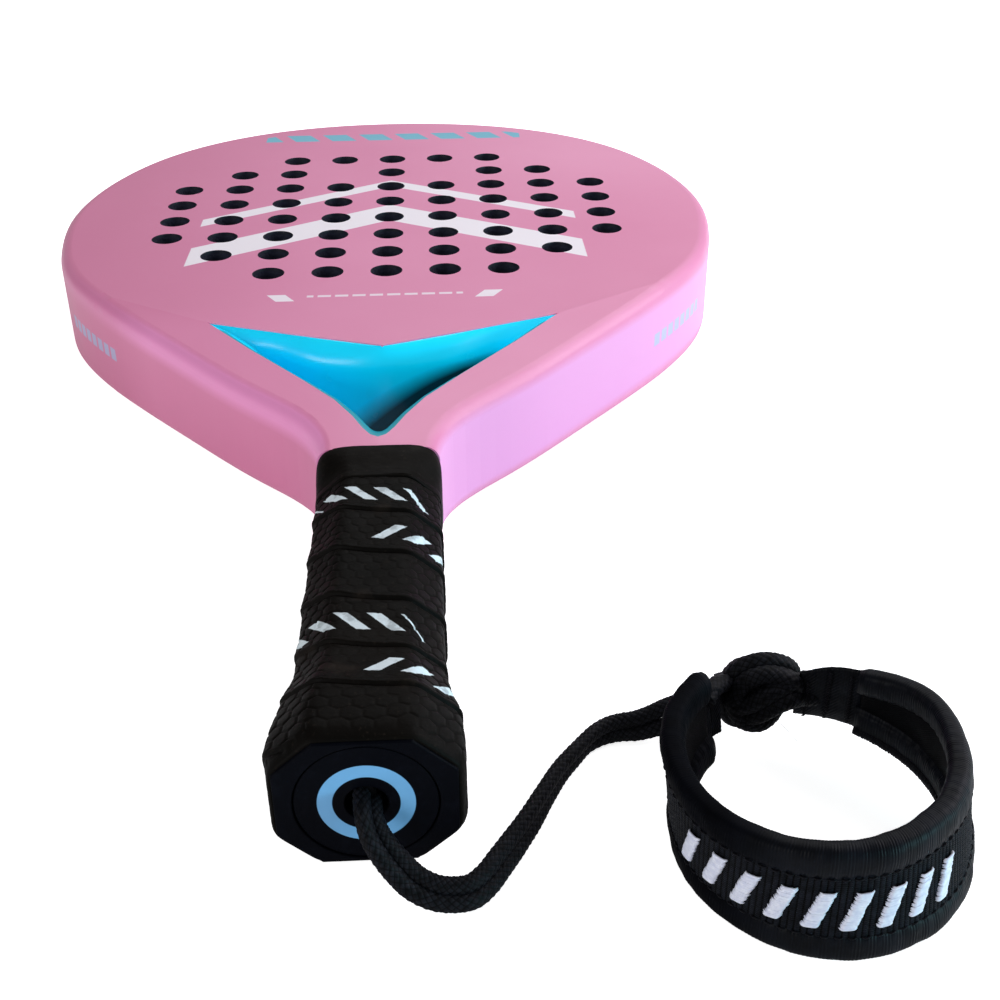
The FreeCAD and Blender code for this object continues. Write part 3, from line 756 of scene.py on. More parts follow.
def hexagon_cell(around, along):
    """Distance to the nearest hexagon's centre and rise within it, in row heights."""
    row = SCALE_PITCH * math.sqrt(3) / 2
    nearest = np.full(around.shape, 1e9)
    rise = np.zeros_like(nearest)
    for k in (0, 1):
        centre_x = np.round(around / SCALE_PITCH - 0.5 * k) * SCALE_PITCH + 0.5 * k * SCALE_PITCH
        centre_y = (np.round((along / row - k) / 2) * 2 + k) * row
        off_x, off_y = np.abs(around - centre_x), np.abs(along - centre_y)
        distance = np.maximum(off_x, off_x / 2 + off_y * 0.8660254)
        rise = np.where(distance < nearest, (centre_y - along) / row, rise)
        nearest = np.minimum(nearest, distance)
    return nearest, rise


def tape_relief(arc, girth, y):
    """Relief of the wound tape: lapped edges, embossed scales and lumps."""
    level = y - TAPE_TILT * (1 - np.cos(2 * np.pi * arc / girth)) / 2
    turn = np.interp(level, TAPE_EDGES, np.arange(len(TAPE_EDGES))) + arc / girth
    past = (turn - np.floor(turn)) * TAPE_WIDTH
    left = TAPE_WIDTH - past
    lap = 0.46 * smoothstep(0, 0.40, past) * (1 - smoothstep(0.5, 8.0, past))
    lap = lap + 0.14 * bell(past, 0.9, 0.55) - 0.36 * bell(left, 0, 0.45) - 0.22 * bell(past, 0, 0.24)
    nearest, rise = hexagon_cell(arc / girth * 28 * SCALE_PITCH, level + 3.0)
    edge = np.clip(SCALE_PITCH / 2 - nearest, 0, None)
    depth = ((0.50 + 0.60 * smoothstep(7.0, 12.5, np.abs(arc)))
             * (0.75 + 0.35 * sheet_noise(arc, y, 5, 9.0)))
    dome = np.clip(rise * 0.5 + 0.5, 0, 1)
    scales = depth * (-0.27 * bell(edge, 0, 0.21) + 0.05 * smoothstep(0, SCALE_PITCH / 2, edge)
                      + 0.12 * dome * smoothstep(0.1, 0.7, edge))
    lumps = 0.10 * sheet_noise(arc, level * 0.6, 9, 5.0)
    return lap + scales * smoothstep(0.4, 1.4, past) * smoothstep(0.2, 1.0, left) + lumps


def add_sleeve(name, outlines, replaced):
    """Closed sleeve of grip tape through outlines of (y, XZ points, arc)."""
    rings = [np.c_[points[:, 0], np.full(len(arc), y), points[:, 1]]
             for y, points, arc in outlines]
    uvs = np.vstack([np.c_[arc, np.full(len(arc), y)] for y, _, arc in outlines])
    attach(loft(name, rings, "grip", uvs), "racket", [replaced])


def add_overgrip():
    count = fine(380)
    station_y, half_x, half_z = GRIP_STATIONS.T
    window = dict(reach=3.0, count=13, sigma=1.6)
    outside = GRIP_LIP + [(y, eased(y, station_y, half_x, **window),
                           eased(y, station_y, half_z, **window))
                          for y in np.arange(3.2, 110.2, fine(0.21))]
    outlines = []
    for y, *halves in outside:
        points, normals, arc, girth = octagon(*halves, count)
        relief = tape_relief(arc, girth, y) * smoothstep(1.0, 4.0, y)
        outlines.append((y, points + normals * relief[:, None], arc))
    for y, *halves in GRIP_INSIDE:
        points, _, arc, _ = octagon(*halves, count)
        outlines.append((y, points, arc))
    add_sleeve("overgrip_wrap", outlines, "overgrip")


add_overgrip()

# y and outward offset of the collar: start, wall, rounded end, then the inner wall
COLLAR_PROFILE = [
    (109.2, -1.0), (109.05, -0.35), (109.25, 0.02), (109.8, 0.12),
    *[(y, 0.12) for y in np.arange(110.4, 123.4, 0.45)],
    (123.9, 0.10), (124.4, 0.0), (124.75, -0.22), (124.95, -0.6),
    (124.95, -2.6), (109.4, -2.0),
]
NECK_END = 124.0
COLLAR_GAP = 0.22       # clearance around the neck
COLLAR_POWER = 5.0      # squareness of the superellipse at the neck


def add_collar():
    """Sleeve at the top of the tape; it swells from the octagon to the rounded neck."""
    _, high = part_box("grip_collar")
    neck = np.array([vert.co[:] for vert in NODES["frame_tube"].data.vertices]) / MM
    neck = np.abs(neck[np.abs(neck[:, 1] - NECK_END) < 0.05])
    half_x = neck[:, 0].max() + COLLAR_GAP
    half_z = neck[:, 2].max() + COLLAR_GAP
    outlines = []
    for y, offset in COLLAR_PROFILE:
        points, normals, arc, _ = octagon(high.x / MM + offset, high.z / MM + offset, 240)
        angle = np.arctan2(points[:, 1], points[:, 0])
        radius = ((np.abs(np.cos(angle)) / (half_x + offset)) ** COLLAR_POWER
                  + (np.abs(np.sin(angle)) / (half_z + offset)) ** COLLAR_POWER
                  ) ** (-1 / COLLAR_POWER)
        rounded = np.c_[radius * np.cos(angle), radius * np.sin(angle)]
        swell = smoothstep(112.0, 122.5, y)
        points = points * (1 - swell) + rounded * swell
        if offset > -0.9:
            relief = (0.10 * sheet_noise(arc, y, 21, 6.0) - 0.12 * bell(y, 112.3, 0.35)
                      + 0.05 * sheet_noise(arc, y * 3, 22, 1.6))
            points = points + normals * relief[:, None]
        outlines.append((y, points, arc))
    add_sleeve("collar_sleeve", outlines, "grip_collar")


add_collar()

# ---------------------------------------------------------------- throat liner
# +X half of the opening, x and y: at the face, at the inner edge of the rim, at mid thickness
OPEN_FACE = [(0.0, 187.9), (31.0, 199.3), ARM_CORNER, (42.8, 189.0), (24.7, 166.6),
             (13.6, 152.2), (7.8, 141.6), (4.6, 134.2), (2.2, 130.2), (0.0, 128.8)]
OPEN_LIP = [(0.0, 187.5), (30.6, 198.8), (55.6, 208.4), (41.9, 190.4), (24.0, 168.0),
            (12.8, 153.8), (6.8, 143.4), (3.6, 136.4), (1.7, 132.6), (0.0, 131.3)]
OPEN_MID = [(0.0, 184.3), (30.0, 194.8), (40.5, 198.6), (37.4, 190.6), (23.2, 171.0),
            (12.6, 155.8), (6.8, 145.4), (3.6, 138.4), (1.7, 134.6), (0.0, 133.3)]


def outward(loop):
    """Unit normals of a closed outline, pointing away from the opening."""
    tangents = np.roll(loop, -2, 0) - np.roll(loop, 2, 0)
    tangents /= np.maximum(np.linalg.norm(tangents, axis=1), 1e-6)[:, None]
    normals = np.c_[tangents[:, 1], -tangents[:, 0]]
    return normals if ((loop - loop.mean(0)) * normals).sum() > 0 else -normals


def liner_outlines():
    """The three outlines, matched point by point and smoothed."""
    loops = [np.array(half + [(-x, y) for x, y in half[-2:0:-1]], float)
             for half in (OPEN_FACE, OPEN_LIP, OPEN_MID)]
    corners = loops[0]
    lengths = np.linalg.norm(np.roll(corners, -1, 0) - corners, axis=1)
    counts = [max(4, int(length / 0.45)) for length in lengths]
    places = np.concatenate([i + np.arange(count) / count for i, count in enumerate(counts)])
    index = places.astype(int)
    part = (places - index)[:, None]
    face, lip, mid = (loop[index] * (1 - part) + np.roll(loop, -1, 0)[index] * part
                      for loop in loops)
    tip = np.minimum(np.linalg.norm(face - corners[2], axis=1),
                     np.linalg.norm(face - corners[-2], axis=1))
    free = smoothstep(1.0, 9.0, tip)[:, None]
    at_bridge = face[:, 1] > 180

    def soften(loop, sigma):
        """Smooths all but the sharp corners of the arms."""
        return loop * (1 - free) + smooth_ring(loop, sigma) * free

    def round_nose(loop, radius):
        """Rounds the point in the middle of the bridge."""
        aside = np.abs(loop[:, 0])
        fade = (1 - smoothstep(20.0, 37.0, aside)) * at_bridge
        drop = 0.37 * (aside - np.sqrt(aside ** 2 + radius ** 2) + radius) * fade
        return np.c_[loop[:, 0], loop[:, 1] - drop]

    face = soften(face, 2.0)
    lip = soften(round_nose(lip, 3.0), 3.5)
    # the rim is broadest where the two arms meet
    aside = np.abs(lip[:, 0])
    lip[:, 1] += ((face[:, 1] < 165) * (0.4 + 1.5 * bell(aside, 0, 9.0))
                  * (1 - smoothstep(24.0, 44.0, aside)))
    return face, lip, smooth_ring(round_nose(mid, 10.0), 5.0)


def add_throat_liner():
    face, lip, mid = liner_outlines()
    top = HEAD_HALF - ARM_SLOPE * np.clip(arm_distance(np.abs(face[:, 0]), face[:, 1]), 0, None)
    out = outward(face)
    rim = top - 0.72
    levels = [(face + out * 0.75, top - 1.3), (face + out * 0.12, top - 0.45),
              (face * 0.7 + lip * 0.3, top - 0.30), (face * 0.35 + lip * 0.65, top - 0.55),
              (lip, rim)]
    for part in np.linspace(0, 1, 26)[1:]:
        inward = 1 - (1 - part) ** 2.3
        levels.append((lip * (1 - inward) + mid * inward, rim * (1 - part) + 9.5 * part))
    levels += [(mid, 7.0), (mid, 3.5)]
    behind = mid + outward(mid) * 0.9
    levels += [(mid, 0.0)] + [(loop, -z) for loop, z in levels[::-1]]
    levels += [(behind, -7.0), (behind, 7.0)]
    rings = [np.c_[loop, np.broadcast_to(z, len(loop))] for loop, z in levels]
    liner = loft("throat_liner_smooth", rings, "cyan", np.vstack(rings)[:, :2])
    attach(liner, "racket", ["throat_liner"])


add_throat_liner()

# ---------------------------------------------------------------- cord
# the points where one body of the cord hands over to the next
JOINTS = [(0.6, -3.4, 0), (10, -13.2, -15.9), (27.4, -1.6, -16.5), (48.6, 34.4, -16.25),
          (77, 40.5, -11.0)]
ROUTE = [
    (0.0, 8.5, 1.4), (0.2, 2.4, 1.2), JOINTS[0], (1.6, -6.0, -2.4), (3.7, -8.0, -5.6),
    (6.6, -9.6, -9.2), (9.8, -10.7, -12.4), (14.5, -11.2, -14.9), (20.6, -10.0, -16.2),
    (24.0, -6.8, -16.5), JOINTS[2], (31.0, 4.2, -16.5), (34.6, 10.2, -16.3),
    (38.4, 17.3, -15.95), (42.3, 24.2, -15.7), (46.3, 29.6, -15.5), (50.3, 34.5, -15.4),
    (54.3, 37.3, -15.4), (58.0, 38.4, -15.4), (61.6, 38.4, -15.1), (65.2, 38.8, -14.4),
    (69.4, 39.6, -13.2), JOINTS[4],
]
# where the cord is cut into pieces
CUTS = [(4.6, -8.6, -6.8), (18.6, -10.6, -15.9), (38.4, 17.3, -15.95), (61.6, 38.4, -15.1)]
CORD_BODIES = ["racket", "cord_neck", "cord_run_1", "cord_run_2", "cord_run_3", "knot"]
# name, and the blend's start and end as arc lengths from its joint
CORD_PIECES = [("cord_exit", -2.4, 4.2), ("cord_drop", -3.4, 3.6), ("cord_floor_1", -7.5, 1.5),
               ("cord_floor_2", -4.0, 4.0), ("cord_rise", -4.6, -0.4)]
CORD_RADIUS = 1.92
CORD_FLAT = 0.84
CORD_GAP = 1.64                     # from the middle of the twin cord to each strand
LIFT_TOWARDS = np.array([17.8, -204.1, 193.2])      # near the camera
TUCK = 4                            # rings by which neighbouring pieces run into each other

cord_step = fine(0.20)
course, arc = spline(ROUTE, cord_step)


def nearest(point):
    return int(np.argmin(np.linalg.norm(course - np.array(point), axis=1)))


joint_arc = arc[[nearest(point) for point in JOINTS]]
# roll of the flat cord about its path, in degrees
cord_roll = np.radians(np.interp(
    arc,
    [arc[0], joint_arc[0], joint_arc[1] - 3, joint_arc[1] + 6, joint_arc[2], joint_arc[3],
     joint_arc[3] + 14, arc[-1]],
    [50, 44, 10, 0, -6, -50, -16, -4]))
cord_spread = 1 + 0.30 * smoothstep(joint_arc[3] + 10, joint_arc[3] + 24, arc)


def rolled_frames(line):
    tangents, across, lift = frames(line)
    cosine = np.cos(cord_roll)[:, None]
    sine = np.sin(cord_roll)[:, None]
    return tangents, across * cosine + lift * sine, lift * cosine - across * sine


def widened(values, reach):
    """Running maximum over a reach on either side, then smoothed twice."""
    count = max(2, int(reach / cord_step))
    values = np.array([values[max(0, i - count):i + count + 1].max() for i in range(len(values))])
    for half in (count, count // 2):
        window = np.ones(2 * half + 1) / (2 * half + 1)
        values = np.convolve(np.pad(values, (half, half), "edge"), window, "valid")
    return values


def raised_path():
    """Lifts the cord where it stands on edge, until its lower strand only touches the floor."""
    path = course.copy()
    for _ in range(4):
        _, across, lift = rolled_frames(path)
        lowest = (path[:, 2] - np.abs(across[:, 2]) * CORD_GAP * cord_spread
                  - CORD_RADIUS * np.sqrt(across[:, 2] ** 2 + (CORD_FLAT * lift[:, 2]) ** 2)
                  - 0.12)
        towards = LIFT_TOWARDS - path
        sunk = np.clip(0.04 - HEAD_HALF - lowest, 0, None)
        path = path + towards / towards[:, 2:] * widened(sunk, 6.0)[:, None]
    return path


path = raised_path()
cord_axes = rolled_frames(path)
cord_wobble = 0.12 * line_noise(arc, 41, 9.0)


def cord_strands(first, last):
    """Both strands from one ring to another, with narrowed ends tucked into the neighbours."""
    rings = np.arange(max(0, first - TUCK), min(len(path), last + TUCK))
    before = np.clip((first - rings) / TUCK, 0, 1)
    after = np.clip((rings - last + 1) / TUCK, 0, 1)
    tuck = np.where((rings < first) | (rings >= last),
                    0.96 - 0.5 * before ** 2 - 0.5 * after ** 2, 1.0)
    axes = [vectors[rings] for vectors in cord_axes]
    strands = []
    for side, shift in ((1, 0.0), (-1, 3.7)):
        middle = (path[rings] + axes[1] * (side * CORD_GAP) * cord_spread[rings, None]
                  + axes[2] * (cord_wobble[rings] * side)[:, None])
        points, uvs = tube(middle, arc[rings] + shift, CORD_RADIUS, 48, plait,
                           flat=CORD_FLAT, axes=axes)
        middle = middle[:, None, :]
        strands.append((middle + (points - middle) * tuck[:, None, None], uvs))
    return strands


def add_cord():
    cuts = [0] + [nearest(point) for point in CUTS] + [len(path) - 1]
    for i, (name, *blend_arc) in enumerate(CORD_PIECES):
        obj = tubes_object(name, cord_strands(cuts[i], cuts[i + 1] + 1), "cord")
        blend(obj)
        attach(obj, replaces=CORD_BODIES[i:i + 1] if i else ())


add_cord()

# ---------------------------------------------------------------- knot
KNOT_CENTRE = np.array([89.1, 37.8, -4.9])
KNOT_ROUTE = [
    (76.2, 40.6, -11.2), (80.8, 42.0, -11.7), (88.1, 43.0, -11.1), (95.2, 41.2, -8.5),
    (98.2, 37.6, -2.9), (95.6, 35.6, 1.7), (90.1, 35.6, 3.0), (85.0, 35.6, 0.7),
    (82.4, 34.6, -4.3), (83.8, 33.8, -9.3), (88.8, 34.6, -11.9), (93.2, 38.2, -10.3),
    (93.8, 41.2, -5.3), (91.0, 42.0, -1.1), (86.2, 40.6, -0.3), (82.6, 37.0, -3.3),
    (83.2, 33.0, -7.3), (87.4, 31.6, -5.9), (92.4, 31.8, -2.9), (97.0, 33.6, -2.3),
    (99.8, 36.2, -4.0), (103.2, 36.8, -4.4),
]
# the part of the loop that is buried in the middle of the knot
KNOT_CORE = [(81.0, 38.0, -5.8), (85.6, 37.2, -4.0), (90.6, 37.0, -4.4), (97.0, 37.0, -5.0)]
LOOSE_FIBRES = [
    [(85.0, 33.6, 1.2), (87.0, 31.2, -0.2), (89.8, 29.6, -3.4), (93.2, 28.6, -7.4),
     (97.4, 27.2, -12.0)],
    [(86.0, 32.6, 1.8), (88.8, 30.6, 0.2), (91.8, 29.8, -3.5), (92.8, 29.4, -8.0)],
]


def knot_frames(line):
    """Frames whose lift points away from the knot's centre, evened out along the line."""
    tangents, _, _ = frames(line)

    def square(vectors):
        return unit_rows(vectors - tangents * (vectors * tangents).sum(1)[:, None])

    lift = square(line - KNOT_CENTRE)
    for _ in range(60):
        lift[1:-1] = lift[1:-1] + lift[:-2] + lift[2:]
        lift = square(lift)
    return tangents, np.cross(tangents, lift), lift


def add_knot():
    line, line_arc = spline(KNOT_ROUTE, fine(0.25))
    axes = knot_frames(line)
    tubes = []
    for side, shift in ((1, 0.0), (-1, 2.9)):
        middle = (line + axes[1] * (side * 1.90)
                  + axes[2] * (0.10 * line_noise(line_arc, 51, 7.0))[:, None])
        tubes.append(tube(middle, line_arc + shift, 2.22, 48, plait, flat=0.86, axes=axes))
    tubes.append(tube(*spline(KNOT_CORE, 0.3), 4.6, 44, plait))
    for points in LOOSE_FIBRES:
        tubes.append(tube(*spline(points, 0.3), 0.055, 6))
    knot = tubes_object("cord_knot_wraps", tubes, "cord")
    attach(knot, "knot", ["cord_knot"])


add_knot()

# ---------------------------------------------------------------- wristband
# angles are in degrees about the band's centre, from +X towards +Y
BAND_CENTRE = (95.2, 2.8)
BAND_RADIUS = 32.2                  # outer face of the webbing
BAND_START, BAND_END = 130.0, 420.5
BAND_SPAN = BAND_END - BAND_START
BAND_ARC = math.radians(BAND_SPAN) * BAND_RADIUS
# how the loop strays from a ring: angle, radius at lower edge and at upper edge, rise of upper edge
BAND_SHAPE = np.array([
    (120, -1.5, 2.6, 3.2), (150, -1.7, 2.3, 1.6), (180, -1.5, 1.5, -0.4),
    (210, -0.5, 1.1, -1.9), (240, 0.8, -0.1, -1.85), (270, 1.55, -1.7, -0.9),
    (300, 0.9, -3.55, 0.9), (330, 0.8, -4.0, 2.35), (360, 1.7, -2.8, 3.8),
    (390, 3.1, 0.2, 5.1), (420, 3.6, 0.8, 2.2), (440, 3.4, 1.2, -0.8),
]).T
# angle and rise of the lower edge
BAND_LIFT = np.array([
    (120, 5.0), (138, 4.5), (150, 3.2), (165, 1.0), (185, 0.0), (340, 0.0), (362, 3.0),
    (385, 4.3), (400, 4.9), (430, 6.8),
]).T


def stray(angle, stations, values):
    angle = np.where(angle < 100, angle + 360, angle)
    return eased(angle, stations, values, reach=13, count=9, sigma=8.0)


def band_edges(angle):
    """Heights of the strap's upper and lower edges."""
    x = BAND_CENTRE[0] + 31 * np.cos(np.radians(angle))
    y = BAND_CENTRE[1] + 31 * np.sin(np.radians(angle))
    top = (7.2 - 0.060 * (x - BAND_CENTRE[0]) - 0.080 * (y - BAND_CENTRE[1])
           + stray(angle, BAND_SHAPE[0], BAND_SHAPE[3]))
    return top, -18.35 + stray(angle, *BAND_LIFT)


def band(angle, offset, z):
    """Points on the strap; offset is outward from the webbing's outer face."""
    angle, offset, z = np.broadcast_arrays(np.asarray(angle, float), offset, z)
    top, low = band_edges(angle)
    height = np.clip((z - low) / (top - low), 0, 1)
    radius = (BAND_RADIUS + offset + stray(angle, BAND_SHAPE[0], BAND_SHAPE[1]) * (1 - height)
              + stray(angle, BAND_SHAPE[0], BAND_SHAPE[2]) * height)
    turn = np.radians(angle)
    return np.stack([BAND_CENTRE[0] + radius * np.cos(turn),
                     BAND_CENTRE[1] + radius * np.sin(turn), z], -1)


def strap_length(count, inset):
    """Angle, arc, upper edge and lower edge along the strap, as columns."""
    angle = np.linspace(BAND_START + inset, BAND_END - inset, count)[:, None]
    return angle, (angle - BAND_START) / BAND_SPAN * BAND_ARC, *band_edges(angle)


def strap_object(name, key, angle, offset, z, along, across):
    """One closed band piece whose UV is the distance along and across."""
    uvs = np.stack(np.broadcast_arrays(along, across), -1)
    return tubes_object(name, [(band(angle, offset, z), uvs)], key)


def add_binding(name, is_top, replaced):
    """Satin roll over an edge: rounder at the strap's edge, flatter at the seam."""
    angle, along, top, low = strap_length(int(BAND_ARC / fine(0.15)), inset=0.2)
    turn = (np.arange(40) / 40 * 2 * np.pi)[None, :]
    cosine, sine = np.cos(turn), np.sin(turn)
    thick = 2.58 + 0.16 * np.clip(sine, 0, 1) - 0.30 * np.clip(-sine, 0, 1)
    offset = np.sign(cosine) * np.abs(cosine) ** 0.72 * thick
    rise = np.sign(sine) * np.abs(sine) ** 0.80 * 3.75
    rib = 0.026 * np.sin(along * 2 * np.pi / 0.78)
    wrinkles = (0.30 * sheet_noise(along, turn * 3.0, 61 + is_top, 7.0)
                + 0.10 * sheet_noise(along, turn * 3.0, 63 + is_top, 2.2))
    pucker = (0.13 * np.sin(along * 2 * np.pi / 2.6 + 1.3 * np.sin(along / 9))
              * bell(sine, -0.72, 0.30))
    relief = rib + wrinkles + pucker - 0.34 * bell(sine, -0.80, 0.10)
    full = np.minimum(smoothstep(0, 2.2, along), smoothstep(0, 2.2, BAND_ARC - along))
    offset = (offset + relief * cosine) * (0.70 + 0.30 * full) - 2.2
    rise = (rise + relief * sine * 0.6) * (0.86 + 0.14 * full)
    z = top - (3.75 - rise) if is_top else low + (3.80 - rise)
    obj = strap_object(name, "satin", angle, offset, z, along, turn * 2.2)
    attach(obj, "wristband", [replaced])


add_binding("binding_roll_top", True, "band_top_binding")
add_binding("binding_roll_bottom", False, "band_bottom_binding")


def add_webbing():
    """Upright ribs on the outer face, with a plain inner face."""
    pitch = 1.30
    angle, along, top, low = strap_length(int(BAND_ARC / pitch * fine(9)), inset=0.6)
    low, high = low + 5.6, top - 5.6
    part = np.linspace(0, 1, 46)[None, :]
    outer_z = low + (high - low) * part
    count = along / pitch
    across = count - np.floor(count)
    rib = 0.26 * np.sqrt(np.clip(1 - (2 * across - 1) ** 2, 0, 1))
    yarn = 0.035 * np.sin(outer_z * 2 * np.pi / 0.62 + np.pi * (np.floor(count) % 2))
    edge = np.minimum(smoothstep(0, 0.06, part), smoothstep(0, 0.06, 1 - part))
    outer = (-0.38 + rib + yarn + 0.12 * sheet_noise(along, outer_z, 71, 8.0)
             - 0.35 * (1 - edge))
    inner_z = outer_z[:, ::-6]
    z = np.concatenate([outer_z, inner_z], 1)
    offset = np.concatenate([outer, np.full_like(inner_z, -1.25)], 1)
    obj = strap_object("webbing_ribbed", "webbing", angle, offset, z, along, z)
    attach(obj, "wristband", ["band_webbing"])


add_webbing()

PUFF_FRAMES = 20
PUFF_LIMIT = 0.75       # farthest the cloth may move a point
PUFF_CLOTH = dict(quality=6, mass=0.05, tension_stiffness=12, compression_stiffness=12,
                  bending_stiffness=0.4, use_pressure=True, uniform_pressure_force=4.0,
                  shrink_min=-0.04)


def puff(obj):
    """Inflates a slab by cloth simulation and adds soft folds."""
    rest = np.array([vert.co for vert in obj.data.vertices], float)
    scene = bpy.context.scene
    cloth = obj.modifiers.new("Cloth", "CLOTH")
    for key, value in PUFF_CLOTH.items():
        setattr(cloth.settings, key, value)
    cloth.settings.effector_weights.gravity = 0.0
    cloth.collision_settings.use_self_collision = False
    cloth.point_cache.frame_start = scene.frame_start = 1
    cloth.point_cache.frame_end = scene.frame_end = PUFF_FRAMES
    for frame_number in range(1, PUFF_FRAMES + 1):
        scene.frame_set(frame_number)
    result = obj.evaluated_get(bpy.context.evaluated_depsgraph_get())
    mesh = result.to_mesh()
    puffed = np.zeros(len(mesh.vertices) * 3)
    mesh.vertices.foreach_get("co", puffed)
    result.to_mesh_clear()
    obj.modifiers.remove(cloth)
    move = np.nan_to_num(puffed.reshape(-1, 3) - rest, nan=0.0, posinf=0.0, neginf=0.0)
    length = np.linalg.norm(move, axis=1, keepdims=True)
    move = move * np.minimum(1.0, PUFF_LIMIT * MM / np.maximum(length, 1e-9))
    x, y, z = (rest / MM).T
    x, y = x - BAND_CENTRE[0], y - BAND_CENTRE[1]
    angle = np.degrees(np.arctan2(y, x)) % 360
    fold = 0.22 * sheet_noise(angle * 0.56, z, 81, 4.5) * MM
    radial = unit_rows(np.c_[x, y, 0 * angle])
    moved = rest + move + radial * fold[:, None]
    obj.data.vertices.foreach_set("co", moved.astype(np.float32).ravel())
    obj.data.update()
    scene.frame_set(1)


def add_lining():
    """The padded inside of the strap, between the two bindings."""
    angle, along, top, low = strap_length(int(BAND_ARC / 2.0), inset=1.6)
    low, high = low + 2.6, top - 2.6
    count = 13
    part = np.concatenate([np.linspace(0, 1, count), [1.0],
                           np.linspace(1, 0, count), [0.0]])[None, :]
    offset = np.concatenate([np.full(count, -1.5), [-2.75], np.full(count, -4.0), [-2.75]])
    z = low + (high - low) * part
    obj = strap_object("padded_lining", "lining", angle, offset, z, along, z)
    puff(obj)
    subdivision = obj.modifiers.new("Subdivision", "SUBSURF")
    subdivision.levels = subdivision.render_levels = 1
    attach(obj, "wristband", ["band_lining", "band_foam"])


add_lining()


# ---------------------------------------------------------------- wristband threads
def stitch(points, radius):
    """One thread with narrowed ends, lying along a few points."""
    line, line_arc = spline(points, 0.32)
    taper = np.sqrt(np.clip(1 - (2 * line_arc / line_arc[-1] - 1) ** 6, 0.04, 1))
    return tube(line, line_arc, radius * taper, 6)


def add_embroidery():
    """Nine slanted bars of satin stitch, 25 threads each."""
    rows = 25
    along = np.linspace(-1, 1, 7)
    threads = []
    for k in range(9):
        first = 201.0 + 12.9 * k
        for i in range(rows):
            part = (i + 0.5) / rows
            lean = (part - 0.5) * 5.0
            start = first + lean + rng.uniform(-0.28, 0.28) - 0.3
            end = first + 5.5 + lean + rng.uniform(-0.28, 0.28) + 0.3
            angle = np.linspace(start, end, 7)
            offset = (-0.10 + 0.58 * np.sqrt(np.clip(1 - along ** 4, 0, 1))
                      + rng.uniform(-0.04, 0.04))
            top, low = band_edges(angle)
            z = ((top + low) / 2 - 0.2 + (part - 0.5) * 8.8 + 0.09 * rng.uniform(-1, 1)
                 + 0.10 * along)
            threads.append(stitch(band(angle, offset, z), radius=0.235))
    obj = tubes_object("satin_stitch_bars", threads, "white")
    attach(obj, "wristband", ["band_embroidery"])


add_embroidery()


def add_seams():
    """A row of stitches by each binding and overlocked threads on the lower inside edge."""
    threads = []
    count = int(BAND_ARC / 2.7)
    first, span = BAND_START + 1.5, BAND_SPAN - 3.0
    offset = 0.12 - 0.25 * np.array([1.6, 0.2, 0, 0.2, 1.6])
    for by_top in (True, False):
        for i in range(count):
            angle = np.linspace(first + span * (i + 0.15) / count,
                                first + span * (i + 0.82) / count, 5)
            top, low = band_edges(angle)
            jitter = 0.06 * rng.uniform(-1, 1)
            z = top - (6.45 + jitter) if by_top else low + (6.5 + jitter)
            threads.append(stitch(band(angle, offset, z), radius=0.19))
    # the overlocked threads run from 12 to 60 degrees
    offset = np.array([-4.4, -5.05, -4.9, -4.2, -3.2])
    rise = np.array([2.2, 1.2, 0.0, -0.15, 0.1])
    for i in range(96):
        angle = 372.0 + 47.5 * i / 96 + np.array([0, 0.2, 0.3, 0.2, 0])
        z = band_edges(angle)[1] + rise + 0.15 * rng.uniform(-1, 1)
        threads.append(stitch(band(angle, offset, z), radius=0.20))
    obj = tubes_object("seam_stitches", threads, "black")
    attach(obj, "wristband")


add_seams()


# ---------------------------------------------------------------- tabs by the knot
def add_tab(name, first, last, low, high, replaced, seed):
    """A folded ribbon with a slanted weave and creases; low and high give its edges' z."""
    radius, half = 30.6, 0.72
    part = np.linspace(0, 1, 90)[:, None]
    turn = (np.arange(120) / 120 * 2 * np.pi)[None, :]
    along = np.abs(last - first) * part * math.pi / 180 * radius
    across = np.where(turn <= np.pi, turn / np.pi, 2 - turn / np.pi)
    z = low(part) + (high(part) - low(part)) * across
    side = np.where(turn < np.pi, 1.0, -1.0)
    edge = np.sqrt(np.clip(1 - (2 * across - 1) ** 10, 0, 1))
    twill = (0.085 * np.sin((along + z * 0.9) * 2 * np.pi / 0.95)
             * np.where(np.sin(along * 2 * np.pi / 5.2) > -0.35, 1.0, 0.3))
    crease = -0.30 * bell(part, 0.52, 0.035) - 0.2 * bell(part, 0.96, 0.03)
    offset = (side * (half * edge + twill * edge) + side * crease * 0.6
              + 0.18 * sheet_noise(along, z, seed, 3.0))
    ends = np.sqrt(np.clip(1 - (2 * part - 1) ** 16, 0.05, 1))
    offset = offset * ends + (radius - BAND_RADIUS)
    angle = first + (last - first) * part
    obj = strap_object(name, "satin", angle, offset, z, along, z)
    attach(obj, "wristband", [replaced])


add_tab("tab_ribbon_right", first=58.5, last=84.3, low=lambda part: -12.8 + 1.2 * part,
        high=lambda part: 5.6 - 3.6 * part ** 2, replaced="band_tab_right", seed=91)
add_tab("tab_ribbon_left", first=121.5, last=134.0, low=lambda part: -9.0 + 0 * part,
        high=lambda part: 2.6 + 2.4 * part, replaced="band_tab_left", seed=92)


def add_tacks():
    """Upright zigzags on the inner and outer faces of the right tab."""
    threads = []
    # angle and height of each zigzag
    for centre, height in ((63.0, 14.5), (72.0, 14.5), (80.5, 10.5)):
        angle = np.array([centre - 0.9, centre, centre + 0.9])
        for i in range(26):
            slant = np.array([-0.16, 0, 0.16]) * (1 if i % 2 else -1)
            z = -11.0 + height * i / 25 + slant
            for offset in ((-2.75, -2.98, -2.75), (-0.95, -0.75, -0.95)):
                threads.append(stitch(band(angle, offset, z), radius=0.17))
    obj = tubes_object("bar_tacks", threads, "black")
    attach(obj, "wristband", ["tab_stitching"])


add_tacks()


